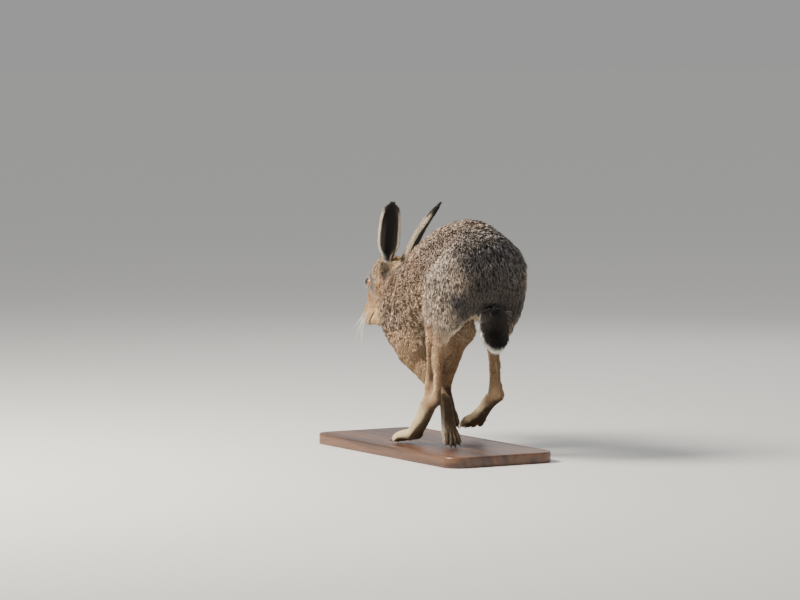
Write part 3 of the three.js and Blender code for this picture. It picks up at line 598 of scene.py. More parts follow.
def mixed(tree, share, first, second, blend="MIX"):
    """Two colours mixed by a share."""
    node = add_node(
        tree, "ShaderNodeMix", {0: share, 6: first, 7: second}, data_type="RGBA", blend_type=blend)
    return node.outputs[2]


def named_inputs(tree, sockets):
    """Gives a tree its named inputs and returns the identifier of each."""
    identifiers = {}
    for name, kind, value in sockets:
        socket = tree.interface.new_socket(name=name, in_out="INPUT", socket_type=kind)
        identifiers[name] = socket.identifier
        if value is not None:
            socket.default_value = value
    return identifiers


# Coat tufts, grown by Geometry Nodes

# Waves in the lie of the coat and locks that stand higher, to the metre
WAVE_SCALE = 70.0
LOCK_SCALE = 140.0

# Points tried in each square as wide as the least distance between tufts
TRIED_POINTS = 1.6

# The seed that each random value of the tufts has of its own
TUFT_SEEDS = {"shade": 3, "turn": 5, "lift": 9, "width": 11, "length": 13, "shape": 17}


def named_value(tree, name, kind="FLOAT"):
    """The output that reads an attribute in Geometry Nodes."""
    node = add_node(tree, "GeometryNodeInputNamedAttribute", {"Name": name}, data_type=kind)
    return next(socket for socket in node.outputs if socket.enabled and socket.name == "Attribute")


def random_value(tree, low, high, use):
    """A random number for each tuft."""
    inputs = {2: low, 3: high, 8: TUFT_SEEDS[use]}
    return add_node(tree, "FunctionNodeRandomValue", inputs, data_type="FLOAT").outputs[1]


def tuft_rotation(tree, given, place, normal):
    """Tufts lie along the coat and wander from it in waves and each on its own."""
    wave = calculate(tree, "MULTIPLY_ADD", noise_of(tree, place, WAVE_SCALE, 2.0), 4.0, -2.0)
    own = random_value(tree, -0.7, 0.7, "turn")
    yaw = calculate(tree, "MULTIPLY", given["Wander"], calculate(tree, "ADD", wave, own))
    lying = add_node(tree, "FunctionNodeAxesToRotation", {
        0: normal, 1: named_value(tree, "lie", "FLOAT_VECTOR"),
    }, primary_axis="Z", secondary_axis="Y")
    turn = add_node(tree, "FunctionNodeEulerToRotation", {
        0: add_node(tree, "ShaderNodeCombineXYZ", {2: yaw}).outputs[0],
    })
    turned = add_node(tree, "FunctionNodeRotateRotation", {
        0: lying.outputs[0], 1: turn.outputs[0],
    }, rotation_space="LOCAL")
    return turned.outputs[0]


def tuft_size(tree, place):
    """Width, length and height of each tuft, which vary, with locks that stand higher."""
    locks = calculate(tree, "MULTIPLY_ADD", noise_of(tree, place, LOCK_SCALE, 1.0), 1.0, 0.45)
    lift = calculate(tree, "MULTIPLY", locks, random_value(tree, 0.75, 1.1, "lift"))
    width = random_value(tree, 0.6, 1.0, "width")
    length = random_value(tree, 0.7, 1.1, "length")
    size = add_node(tree, "ShaderNodeCombineXYZ", {
        0: calculate(tree, "MULTIPLY", named_value(tree, "tuft_width"), width),
        1: calculate(tree, "MULTIPLY", named_value(tree, "tuft_length"), length),
        2: calculate(tree, "MULTIPLY", named_value(tree, "tuft_depth"), lift),
    })
    return size.outputs[0]


def tuft_tree():
    """Tufts spread evenly over a skin, lying as its attributes say."""
    tree = bpy.data.node_groups.new("Coat tufts", "GeometryNodeTree")
    inputs = named_inputs(tree, [
        ("Skin", "NodeSocketGeometry", None), ("Tufts", "NodeSocketCollection", None),
        ("Spacing", "NodeSocketFloat", 0.0013), ("Wander", "NodeSocketFloat", 0.3),
        ("Patch", "NodeSocketFloat", 0.003), ("Seed", "NodeSocketInt", 1),
        ("Finish", "NodeSocketMaterial", None),
    ])
    tree.interface.new_socket(name="Coat", in_out="OUTPUT", socket_type="NodeSocketGeometry")
    given = tree.nodes.new("NodeGroupInput").outputs
    spacing = given["Spacing"]
    density = calculate(tree, "DIVIDE", TRIED_POINTS, calculate(tree, "MULTIPLY", spacing, spacing))
    points = add_node(tree, "GeometryNodeDistributePointsOnFaces", {
        "Mesh": given["Skin"], "Distance Min": spacing, "Density Max": density, "Seed": given["Seed"],
    }, distribute_method="POISSON")
    shaded = add_node(tree, "GeometryNodeStoreNamedAttribute", {
        "Geometry": points.outputs["Points"], "Name": "shade",
        "Value": random_value(tree, 0.0, 1.0, "shade"),
    }, data_type="FLOAT", domain="POINT")
    place = tree.nodes.new("GeometryNodeInputPosition").outputs[0]
    shapes = add_node(tree, "GeometryNodeCollectionInfo", {
        "Collection": given["Tufts"], "Separate Children": True, "Reset Children": True,
    })
    choice = add_node(tree, "FunctionNodeRandomValue", {
        4: 0, 5: len(TUFT_BENDS) - 1, 8: TUFT_SEEDS["shape"],
    }, data_type="INT")
    tufts = add_node(tree, "GeometryNodeInstanceOnPoints", {
        "Points": shaded.outputs[0], "Instance": shapes.outputs[0], "Pick Instance": True,
        "Instance Index": choice.outputs[2], "Scale": tuft_size(tree, place),
        "Rotation": tuft_rotation(tree, given, place, points.outputs["Normal"]),
    })
    real = add_node(tree, "GeometryNodeRealizeInstances", {"Geometry": tufts.outputs[0]})
    patch = scaled(tree, named_value(tree, "patch", "FLOAT_VECTOR"), given["Patch"])
    flat = vector_calculate(tree, "ADD", named_value(tree, "root_map", "FLOAT_VECTOR"), patch)
    mapped = add_node(tree, "GeometryNodeStoreNamedAttribute", {
        "Geometry": real.outputs[0], "Name": "OFBake", "Value": flat,
    }, data_type="FLOAT2", domain="CORNER")
    finished = add_node(tree, "GeometryNodeSetMaterial", {
        "Geometry": mapped.outputs[0], "Material": given["Finish"],
    })
    add_node(tree, "NodeGroupOutput", {0: finished.outputs[0]})
    return tree, inputs


def strand_tree():
    """Round tapering strands along lines whose points say how thick they are."""
    tree = bpy.data.node_groups.new("Tapered strands", "GeometryNodeTree")
    inputs = named_inputs(tree, [
        ("Lines", "NodeSocketGeometry", None), ("Sides", "NodeSocketInt", 6),
        ("Finish", "NodeSocketMaterial", None),
    ])
    tree.interface.new_socket(name="Strands", in_out="OUTPUT", socket_type="NodeSocketGeometry")
    given = tree.nodes.new("NodeGroupInput").outputs
    lines = add_node(tree, "GeometryNodeMeshToCurve", {"Mesh": given["Lines"]})
    circle = add_node(tree, "GeometryNodeCurvePrimitiveCircle", {
        "Resolution": given["Sides"], "Radius": 1.0,
    })
    strands = add_node(tree, "GeometryNodeCurveToMesh", {
        "Curve": lines.outputs[0], "Profile Curve": circle.outputs[0],
        "Scale": named_value(tree, "thick"), "Fill Caps": True,
    })
    rounded = add_node(tree, "GeometryNodeSetShadeSmooth", {"Geometry": strands.outputs[0]})
    real = add_node(tree, "GeometryNodeRealizeInstances", {"Geometry": rounded.outputs[0]})
    finished = add_node(tree, "GeometryNodeSetMaterial", {
        "Geometry": real.outputs[0], "Material": given["Finish"],
    })
    add_node(tree, "NodeGroupOutput", {0: finished.outputs[0]})
    return tree, inputs


def make_strands(name, lines, sides, material):
    """One mesh of strands from lines, each a list of places and a list of radii."""
    points = []
    edges = []
    thick = []
    for places, radii in lines:
        edges += [(len(points) + i, len(points) + i + 1) for i in range(len(places) - 1)]
        points += [tuple(place) for place in places]
        thick += list(radii)
    mesh = bpy.data.meshes.new(name)
    mesh.from_pydata(points, edges, [])
    keep_attribute(mesh, "thick", "FLOAT", np.array(thick))
    host = add_object(name, mesh)
    tree, inputs = strand_tree()
    modifier = host.modifiers.new("Strands", "NODES")
    modifier.node_group = tree
    modifier[inputs["Sides"]] = sides
    modifier[inputs["Finish"]] = material
    strands = evaluated_mesh(host, name)
    bpy.data.meshes.remove(mesh)
    strands.attributes.remove(strands.attributes["thick"])
    return add_object(name, strands)


# How far the tip of each kind of tuft bends sideways, in tuft widths
TUFT_BENDS = (0.0, 0.9, -0.9)

# A tuft's rings from root to middle: share of its length, height, half width
TUFT_RINGS = [(0.0, -0.12, 0.38), (0.5, 0.62, 0.5)]
TUFT_RIDGE = 0.22


def tuft_shapes():
    """Tufts of unit size, each a tapered blade with a ridge, straight or bent sideways."""
    shapes = bpy.data.collections.new("Tuft shapes")
    for number, bend in enumerate(TUFT_BENDS):
        points = []
        along = []
        for share, height, half in TUFT_RINGS:
            side = bend * share * share
            points.append((side - half, share, height))
            points.append((side + half, share, height))
            points.append((side, share, height + TUFT_RIDGE))
            along += [share] * 3
        points.append((bend, 1.0, 1.0))
        along.append(1.0)
        faces = [(0, 2, 1), (0, 1, 4, 3), (1, 2, 5, 4), (2, 0, 3, 5), (3, 4, 6), (4, 5, 6), (5, 3, 6)]
        mesh = bpy.data.meshes.new(f"tuft_{number}")
        mesh.from_pydata(points, [], faces)
        keep_attribute(mesh, "along", "FLOAT", np.array(along))
        spots = [(point[0] - bend * share * share, share - 0.5, 0) for point, share in zip(points, along)]
        keep_attribute(mesh, "patch", "FLOAT_VECTOR", np.array(spots))
        smooth_shaded(mesh)
        shapes.objects.link(bpy.data.objects.new(f"tuft_{number}", mesh))
    return shapes


class Groomer:
    """Grows coat over a skin mesh that has the attributes of the lie and size of its tufts."""

    def __init__(self, sizes):
        self.tree, self.inputs = tuft_tree()
        self.shapes = tuft_shapes()
        self.sizes = sizes

    def grow(self, name, skin, faces, spacing, material, seed):
        """Tufts on the chosen faces of a skin."""
        patch = skin.copy()
        form = bmesh.new()
        form.from_mesh(patch)
        form.faces.ensure_lookup_table()
        chosen = set(faces.tolist())
        others = [face for face in form.faces if face.index not in chosen]
        bmesh.ops.delete(form, geom=others, context="FACES")
        form.to_mesh(patch)
        form.free()
        host = add_object(name, patch)
        unwrap(host)
        modifier = host.modifiers.new("Coat", "NODES")
        modifier.node_group = self.tree
        values = {
            "Tufts": self.shapes, "Spacing": spacing * MM, "Wander": self.sizes.wander,
            "Patch": self.sizes.patch, "Seed": seed, "Finish": material,
        }
        for key, value in values.items():
            modifier[self.inputs[key]] = value
        coat = evaluated_mesh(host, name)
        bpy.data.meshes.remove(patch)
        for spare in ("patch", "root_map", "tuft_width", "tuft_length", "tuft_depth"):
            if spare in coat.attributes:
                coat.attributes.remove(coat.attributes[spare])
        return add_object(name, coat)


# Faces that turn by more than this lie apart on the map, with this gap between them
MAP_ANGLE = math.radians(75)
MAP_GAP = 0.004


def unwrap(host):
    """Lays the object's own surface flat and keeps the place of each corner on that map."""
    bpy.ops.object.select_all(action="DESELECT")
    bpy.context.view_layer.objects.active = host
    host.select_set(True)
    bpy.ops.object.mode_set(mode="EDIT")
    bpy.ops.mesh.select_all(action="SELECT")
    bpy.ops.uv.smart_project(angle_limit=MAP_ANGLE, island_margin=MAP_GAP)
    bpy.ops.object.mode_set(mode="OBJECT")
    host.select_set(False)
    mesh = host.data
    layer = mesh.uv_layers.active
    flat = np.empty(len(mesh.loops) * 2)
    layer.data.foreach_get("uv", flat)
    flat = np.concatenate([flat.reshape(-1, 2), np.zeros((len(mesh.loops), 1))], axis=1)
    mesh.uv_layers.remove(layer)
    keep_attribute(mesh, "root_map", "FLOAT_VECTOR", flat, "CORNER")


# Shader groups

def shader_group(name, inputs, outputs):
    """A shader group with its named inputs and outputs, and the outputs of its input node."""
    tree = bpy.data.node_groups.new(name, "ShaderNodeTree")
    named_inputs(tree, inputs)
    for title, kind in outputs:
        tree.interface.new_socket(name=title, in_out="OUTPUT", socket_type=kind)
    return tree, tree.nodes.new("NodeGroupInput").outputs


def place_group(tree, group, values):
    """A shader group in a tree, with its inputs joined to a socket or set to a value."""
    node = add_node(tree, "ShaderNodeGroup", node_tree=group)
    for key, value in values.items():
        if isinstance(value, bpy.types.NodeSocket):
            tree.links.new(value, node.inputs[key])
        else:
            node.inputs[key].default_value = value
    return node


def streak_group():
    """Object coordinates drawn out along the lie of the coat."""
    tree, given = shader_group("Along the lie", [
        ("Place", "NodeSocketVector", None), ("Lie", "NodeSocketVector", None),
        ("Stretch", "NodeSocketFloat", 0.8),
    ], [("Place", "NodeSocketVector")])
    along = vector_calculate(tree, "DOT_PRODUCT", given["Place"], given["Lie"])
    share = calculate(tree, "MULTIPLY", along, given["Stretch"])
    drawn = vector_calculate(tree, "SUBTRACT", given["Place"], scaled(tree, given["Lie"], share))
    add_node(tree, "NodeGroupOutput", {0: drawn})
    return tree


# Waves of the flecks and of the uneven light to the metre, and how far flecks are drawn out along the hairs
FLECK_SCALE = 300.0
CLOUD_SCALE = 45.0
FLECK_STRETCH = 0.6


def grizzle_group(streaks, dark):
    """A marking broken up as a wild coat is: darker roots, partly the hairs' dark bases and partly painted
    shade deep in the coat, the marking, and dark or pale tips in flecks.
    """
    tree, given = shader_group("Grizzled coat", [
        ("Marking", "NodeSocketColor", None), ("Flecks", "NodeSocketFloat", 0.5),
        ("Along", "NodeSocketFloat", 0.5), ("Shade", "NodeSocketFloat", 0.5),
        ("Place", "NodeSocketVector", None), ("Lie", "NodeSocketVector", None),
    ], [("Color", "NodeSocketColor")])
    marking = given["Marking"]
    drawn = place_group(tree, streaks, {
        "Place": given["Place"], "Lie": given["Lie"], "Stretch": FLECK_STRETCH,
    })
    patches = noise_of(tree, drawn.outputs[0], FLECK_SCALE, 2.0)
    fleck = ramp(tree, calculate(tree, "MULTIPLY_ADD", given["Shade"], 0.12, patches), 0.51, 0.62)
    bright = mixed(tree, 1.0, marking, (1.35, 1.32, 1.28, 1), "MULTIPLY")
    pale = mixed(tree, 0.2, bright, (0.68, 0.62, 0.56, 1))
    tip = mixed(tree, fleck, (*dark, 1), pale)
    # Darker roots: partly the hairs' dark bases, partly painted shade deep in the coat
    root = mixed(tree, 1.0, marking, (0.42, 0.40, 0.40, 1), "MULTIPLY")
    body = mixed(tree, ramp(tree, given["Along"], 0.1, 0.5), root, marking)
    reach = calculate(tree, "MULTIPLY", ramp(tree, given["Along"], 0.3, 0.6), given["Flecks"])
    tipped = mixed(tree, calculate(tree, "MULTIPLY", reach, 0.9), body, tip)
    shade = calculate(tree, "MULTIPLY_ADD", given["Shade"], 0.3, 0.68)
    clouds = noise_of(tree, given["Place"], CLOUD_SCALE, 2.0)
    light = calculate(tree, "MULTIPLY_ADD", clouds, 0.5, shade)
    add_node(tree, "NodeGroupOutput", {0: scaled(tree, tipped, light)})
    return tree


# Materials

def new_material(name, **values):
    """A material of one shader, whose even values are given with _ for each space in their names."""
    material = bpy.data.materials.new(name)
    material.use_nodes = True
    material.node_tree.nodes.clear()
    tree = material.node_tree
    shader = add_node(tree, "ShaderNodeBsdfPrincipled")
    for key, value in values.items():
        shader.inputs[key.replace("_", " ")].default_value = value
    add_node(tree, "ShaderNodeOutputMaterial", {0: shader.outputs[0]})
    return material, tree, shader.inputs


def attribute_of(tree, name, output):
    """The output that reads an attribute in a material."""
    return add_node(tree, "ShaderNodeAttribute", attribute_name=name).outputs[output]


def object_place(tree):
    """The output that gives Object coordinates."""
    return add_node(tree, "ShaderNodeTexCoord").outputs["Object"]


def add_bump(tree, inputs, height, strength, distance):
    """Bumps the surface by a height."""
    bump = add_node(tree, "ShaderNodeBump", {"Strength": strength, "Distance": distance, "Height": height})
    tree.links.new(bump.outputs[0], inputs["Normal"])


def dimmed(colour, share):
    """A colour times a share, as a shader's four values."""
    return (*(value * share for value in colour), 1)


class Finishes:
    """The materials. Those of the coat and the skin share their groups."""

    def __init__(self, colours):
        self.colours = colours
        self.streaks = streak_group()
        self.grizzle = grizzle_group(self.streaks, tuple(colours.dark))
        self.skin_material = self.skin()
        self.coat_material = self.coat()

    def grizzled(self, tree, place, along, shade):
        """The colour of the coat, from what a mesh keeps of it."""
        group = place_group(tree, self.grizzle, {
            "Marking": attribute_of(tree, "marking", "Color"),
            "Flecks": attribute_of(tree, "flecks", "Fac"),
            "Lie": attribute_of(tree, "lie", "Vector"), "Place": place, "Along": along, "Shade": shade,
        })
        return group.outputs["Color"]

    def coat(self):
        """Tufts with darker roots, partly painted shade, and flecked tips."""
        material, tree, inputs = new_material(
            "hare_coat", Roughness=0.72, Specular_IOR_Level=0.16, Sheen_Weight=0.06)
        along = attribute_of(tree, "along", "Fac")
        shade = attribute_of(tree, "shade", "Fac")
        tree.links.new(self.grizzled(tree, object_place(tree), along, shade), inputs["Base Color"])
        return material

    def skin(self):
        """Short flat fur as fine streaks of colour and bump."""
        material, tree, inputs = new_material(
            "hare_skin", Roughness=0.8, Specular_IOR_Level=0.2, Sheen_Weight=0.15)
        place = object_place(tree)
        hairs = place_group(tree, self.streaks, {
            "Place": place, "Lie": attribute_of(tree, "lie", "Vector"), "Stretch": 0.86,
        })
        strands = noise_of(tree, hairs.outputs[0], 1500.0, 3.0)
        streaked = ramp(tree, strands, 0.3, 0.7, 0.62, 1.12)
        coloured = scaled(tree, self.grizzled(tree, place, 0.5, 0.5), streaked)
        tree.links.new(coloured, inputs["Base Color"])
        add_bump(tree, inputs, strands, 0.6, 0.6 * MM)
        return material

    def eye(self):
        """Amber iris with fine spokes round a dark pupil, from how far each point turns from the gaze."""
        material, tree, inputs = new_material(
            "hare_eye", Roughness=0.12, Coat_Weight=1.0, Coat_Roughness=0.02)
        turned = attribute_of(tree, "turned", "Fac")
        spokes = noise_of(tree, attribute_of(tree, "spoke", "Vector"), 9.0, 4.0)
        amber = self.colours.eye_amber
        bright = mixed(tree, ramp(tree, spokes, 0.35, 0.65), dimmed(amber, 0.55), dimmed(amber, 1))
        inner = mixed(tree, ramp(tree, turned, 0.42, 0.6), dimmed(amber, 0.35), bright)
        iris = mixed(tree, ramp(tree, turned, 0.82, 0.95), inner, (0.03, 0.018, 0.01, 1))
        coloured = mixed(tree, ramp(tree, turned, 0.39, 0.43), (0.004, 0.004, 0.004, 1), iris)
        tree.links.new(coloured, inputs["Base Color"])
        return material

    def whisker(self):
        """Pale stiff hair."""
        return new_material("hare_whisker", Base_Color=(0.82, 0.78, 0.7, 1), Roughness=0.4)[0]

    def claw(self):
        """Dark horn with fine uneven streaks."""
        material, tree, inputs = new_material("hare_claw", Roughness=0.32, Coat_Weight=0.3)
        horn = self.colours.claw
        streaks = noise_of(tree, object_place(tree), 420.0, 3.0)
        tree.links.new(mixed(tree, streaks, dimmed(horn, 0.6), dimmed(horn, 1.5)), inputs["Base Color"])
        return material

    def wood(self):
        """Varnished wood with its grain along the base."""
        material, tree, inputs = new_material("base_wood", Coat_Weight=0.35, Coat_Roughness=0.18)
        place = object_place(tree)
        along = add_node(tree, "ShaderNodeMapping", {"Vector": place, "Scale": (26.0, 1.6, 26.0)})
        bands = add_node(tree, "ShaderNodeTexNoise", {
            "Vector": along.outputs[0], "Scale": 1.0, "Detail": 5.0, "Distortion": 1.2,
        })
        fine = add_node(tree, "ShaderNodeMapping", {"Vector": place, "Scale": (900.0, 24.0, 900.0)})
        fibres = noise_of(tree, fine.outputs[0], 1.0, 3.0)
        dark = (*self.colours.wood_dark, 1)
        banded = mixed(tree, ramp(tree, bands.outputs[0], 0.36, 0.66), dark, (*self.colours.wood, 1))
        coloured = scaled(tree, banded, ramp(tree, fibres, 0.35, 0.6, 0.72, 1.06))
        tree.links.new(coloured, inputs["Base Color"])
        tree.links.new(ramp(tree, fibres, 0.3, 0.7, 0.5, 0.36), inputs["Roughness"])
        add_bump(tree, inputs, fibres, 0.25, 0.4 * MM)
        return material


# Skin

# How sharply one place of the coat gives way to the next, for its hair and for its colours, and how near a
# place its own values hold
HAIR_SHARPNESS = 5
COLOUR_SHARPNESS = 3.6
PLACE_CORE = 3 * MM

# The edges between colours wander this far, with this many waves to the metre, and less on the head
WANDER_REACH = 11
WANDER_SCALE = 38
CALMER_HEAD = 0.8


class CoatField:
    """Lie, depth, length, width, colour and flecking of the coat anywhere on the body."""

    def __init__(self, colours, seed):
        self.places = coat_places()
        self.colours = colours
        self.seed = seed
        self.middles = np.array([place["place"] for place in self.places])
        self.names = sorted({place["piece"] for place in self.places})

    def weights(self, points, sharpness=HAIR_SHARPNESS):
        """How much each place of the coat counts at each point."""
        shares = np.empty((len(points), len(self.places)))
        for i, middle in enumerate(self.middles):
            distance = np.linalg.norm(points - middle, axis=1)
            shares[:, i] = (distance ** 2 + PLACE_CORE ** 2) ** (-sharpness / 2)
        return shares / shares.sum(axis=1)[:, None]

    def value(self, weights, key):
        """A value of the places, mixed by their weights."""
        return weights @ np.array([place[key] for place in self.places])

    def marking(self, points):
        """Colours of the coat, with edges that wander between one and the next."""
        # Without a seed above 0, the noise would differ from run to run
        noise.seed_set(self.seed + 1)
        wander = np.array([noise.noise_vector(Vector(point) * WANDER_SCALE)[:] for point in points])
        wander = wander * WANDER_REACH * MM * (1 - CALMER_HEAD * on_head_mask(points))[:, None]
        tones = np.array([getattr(self.colours, place["colour"]) for place in self.places])
        return self.weights(points + wander, COLOUR_SHARPNESS) @ tones

    def share_of(self, weights, piece):
        """How far each point belongs to a piece of the coat."""
        chosen = np.array([place["piece"] == piece for place in self.places])
        return weights[:, chosen].sum(axis=1)

    def owners(self, weights):
        """The number of the piece that each point belongs to most."""
        shares = np.stack([self.share_of(weights, name) for name in self.names], axis=1)
        return shares.argmax(axis=1)


def laid_flat(directions, normals):
    """Directions turned into the surface, at unit length."""
    flat = directions - normals * (directions * normals).sum(axis=1)[:, None]
    return flat / np.maximum(np.linalg.norm(flat, axis=1), 1e-9)[:, None]


# Grooves of the face as head places, with their width and depth in millimetres, each filled with painted
# shade
FACE_GROOVES = [
    ([(69, -8, 1.8), (68, -6, 4.4), (64, -3, 6.2)], 1.5, 2.3),
    ([(69, -10, 0), (68, -16, 0), (64, -23, 0)], 1.1, 1.6),
    ([(62, -25, 0.2), (59, -27, 5), (52, -26.5, 10), (43, -24, 13), (34, -21.5, 14)], 1.4, 2.3),
]

# Folds on the sides of the face as u and v, with width, depth and how much painted shade fills them: the
# mouth, over and under the eye, from its front corner, under the cheek, and behind the whiskers
FACE_FOLDS = [
    ([(60, -26.5), (52, -26.5), (43, -24), (35, -21.5)], 1.2, 2.0, 0.9),
    ([(-9, 15), (-4, 20.5), (5, 22.5), (13, 20), (18, 13)], 1.8, 1.2, 0.3),
    ([(-7, 3), (0, -2), (8, -2), (13, 1.5)], 1.6, 0.8, 0.2),
    ([(13.5, 4.5), (20, 0), (28, -6)], 1.5, 0.9, 0.4),
    ([(36, -20), (24, -18), (12, -24)], 3.0, 1.2, 0.1),
    ([(44, -2), (38, -10), (36, -19)], 3.0, 0.8, 0.08),
]

# The hollow in front of the thigh and over it
THIGH_HOLLOW = [
    (14, 50, 324), (37, 56, 314), (52, 60, 301), (60, 62, 286), (64, 64, 262), (69, 62, 243), (86, 58, 222)]

# Hollows of the body: places forward, left and up, then the sides that have it, its width, its depth and
# how much painted shade fills it. A negative depth raises the surface instead, and a small one only marks
# it with painted shade.
BODY_GROOVES = [
    (THIGH_HOLLOW, BOTH, 8, 3.6, 0.16),
    ([(62, 53, 168), (67, 52, 148), (69, 50, 130), (67, 48, 112)], LEFT, 5, 3.4, 0.8),
    ([(246, 0, 290), (258, 0, 293)], LEFT, 13, -4, 0),
    ([(60, 41, 168), (63, 41, 140), (65, 41, 112)], LEFT, 5, 2.4, 0.25),
    ([(273, 20, 288), (262, 25, 274), (254, 29, 258)], BOTH, 7, 0.5, 0.75),
    ([(214, 30, 277), (218, 36, 262), (228, 38, 251), (240, 36, 243), (262, 27, 236)], BOTH, 5, 1.8, 0.85),
    ([(334, 13, 208), (337, 15, 200), (333, 16, 193)], BOTH, 8, -3, 0),
    ([(238, 12, 287), (206, 26, 286), (184, 34, 284)], BOTH, 7, 0.5, 0.45),
    ([(26, -53, 165), (24, -53, 140), (20, -52, 110)], RIGHT, 5, 2.8, 0.4),
    ([(26, -41, 165), (24, -41, 140), (20, -41, 110)], RIGHT, 5, 2.4, 0.25),
    ([(38, 62, 224), (50, 59, 198), (61, 54, 170)], BOTH, 6, 2.2, 0.45),
    ([(262, 14, 268), (256, 24, 250), (258, 27, 229), (274, 26, 207), (286, 15, 187)], BOTH, 7, 3, 0.2),
    ([(196, 47, 252), (206, 50, 232), (204, 50, 208)], BOTH, 9, 2.2, 0.08),
]

# A fold with more painted shade than this holds no tufts
BARE_FOLD_SHADE = 0.5

# Further than anything on the hare, in millimetres
FAR = 1e9


def groove_distance(points, stops):
    """How far each point is from a line of stops."""
    stops = np.array(stops, dtype=float)
    nearest = np.full(len(points), FAR)
    for start, end in zip(stops[:-1], stops[1:]):
        along = end - start
        share = np.clip(((points - start) @ along) / (along @ along), 0, 1)
        gap = np.linalg.norm(points - start - share[:, None] * along, axis=1)
        nearest = np.minimum(nearest, gap)
    return nearest


# The plane that parts head from neck: a place on it as forward and up, and the way to the head
HEAD_PLANE = ((262, 240), (0.98, 0.2))

# The feet are below this height, and the features of the face are before this u or this near an eye
FEET_HEIGHT = 64
FEATURES_FROM = 38
FEATURES_ROUND_EYE = 17


def on_head_mask(points):
    """Whether each point is on the head."""
    forward, _, up = body_frame(points).T
    (start_forward, start_up), (way_forward, way_up) = HEAD_PLANE
    return (forward - start_forward) * way_forward + (up - start_up) * way_up > 0


def on_feet_mask(points):
    """Whether each point is on the feet."""
    return body_frame(points)[:, 2] < FEET_HEIGHT


def on_features_mask(points):
    """Whether each point is on the muzzle or round an eye."""
    on_muzzle = head_frame(points)[:, 0] > FEATURES_FROM
    return on_head_mask(points) & (on_muzzle | (eye_distance(points) < FEATURES_ROUND_EYE))


def eye_distance(points):
    """How far each point is from the middle of the nearer eye, in millimetres."""
    return np.min([np.linalg.norm(points - eye_middle(side), axis=1) for side in BOTH], axis=0) / MM


def ear_root_distance(points):
    """How far each point is from the root of the nearer ear, in millimetres."""
    forward, left, up = EAR_ROOT
    roots = [at(forward, left * side, up) for side in BOTH]
    return np.min([np.linalg.norm(points - root, axis=1) for root in roots], axis=0) / MM


def finer(mesh, mask_of):
    """Halves the skin's cells where the mask holds."""
    form = bmesh.new()
    form.from_mesh(mesh)
    chosen = mask_of(np.array([vertex.co[:] for vertex in form.verts]))
    form.verts.ensure_lookup_table()
    edges = [edge for edge in form.edges if chosen[edge.verts[0].index] and chosen[edge.verts[1].index]]
    bmesh.ops.subdivide_edges(form, edges=edges, cuts=1, use_grid_fill=True)
    form.to_mesh(mesh)
    form.free()


# The toes: how many, how close they are at the knuckle, and how much shorter the outer ones are
TOES = 4
KNUCKLE_SPREAD = 0.6
TOE_REACH = 1.04
OUTER_TOE_LOSS = 0.09

# The gaps between the toes: half width, depth, how much painted shade fills them, and how far from the toes
# they are looked for
TOE_GAP = (1.8, 2.8, 0.4, 14)


def toe_lines(name):
    """The knuckle and tip of each toe of a leg."""
    leg = LEGS[name]
    knuckle = np.array(leg["knuckle"], dtype=float)
    tip = np.array(leg["toe"], dtype=float)
    outwards = np.array([0, 1 if name.startswith("left") else -1, 0])
    lines = []
    for number in range(TOES):
        across = number - (TOES - 1) / 2
        start = knuckle + outwards * across * leg["spread"] * KNUCKLE_SPREAD
        reach = TOE_REACH - OUTER_TOE_LOSS * across ** 2
        end = knuckle + (tip - knuckle) * reach + outwards * across * leg["spread"]
        lines.append((start, end))
    return lines


def face_depth(points):
    """How deep the grooves and folds of the face are, how much painted shade fills them, and how far each
    point is from them.
    """
    face = head_frame(points)
    face[:, 2] = np.abs(face[:, 2])
    depth = np.zeros(len(points))
    painted_shade = np.zeros(len(points))
    gap = np.full(len(points), FAR)
    for stops, width, deep in FACE_GROOVES:
        distance = groove_distance(face, stops)
        fall = np.exp(-(distance / width) ** 2)
        gap = np.minimum(gap, distance)
        depth = np.maximum(depth, fall * deep)
        painted_shade = np.maximum(painted_shade, fall)
    sideways = smoothstep(4, 9, face[:, 2]) * on_head_mask(points)
    for stops, width, deep, dark in FACE_FOLDS:
        distance = groove_distance(face[:, :2], stops)
        fall = np.exp(-(distance / width) ** 2) * sideways
        if dark > BARE_FOLD_SHADE:
            gap = np.minimum(gap, distance + (1 - sideways) * 1000)
        depth = np.maximum(depth, fall * deep)
        painted_shade = np.maximum(painted_shade, fall * dark)
    return depth, painted_shade, gap


def body_depth(points):
    """How deep the hollows of the body and the gaps between the toes are, and how much painted shade fills
    them.
    """
    places = body_frame(points)
    depth = np.zeros(len(points))
    painted_shade = np.zeros(len(points))
    for stops, sides, width, deep, dark in BODY_GROOVES:
        for side in sides:
            turned = [(forward, abs(left) * side, up) for forward, left, up in stops]
            fall = np.exp(-(groove_distance(places, turned) / width) ** 2)
            depth += fall * deep
            painted_shade = np.maximum(painted_shade, fall * dark)
    half_width, deep, dark, reach = TOE_GAP
    for name in LEGS:
        lines = toe_lines(name)
        for (start, end), (next_start, next_end) in zip(lines[:-1], lines[1:]):
            first = (start + next_start) / 2
            along = (end + next_end) / 2 - first
            share = ((places - first) @ along) / (along @ along)
            offset = places - first - share[:, None] * along
            near = (np.linalg.norm(offset, axis=1) < reach) * smoothstep(0.0, 0.5, share) * (share < 1.5)
            fall = np.exp(-(offset[:, 1] / half_width) ** 2) * near
            depth += fall * deep
            painted_shade = np.maximum(painted_shade, fall * dark)
    return depth, painted_shade


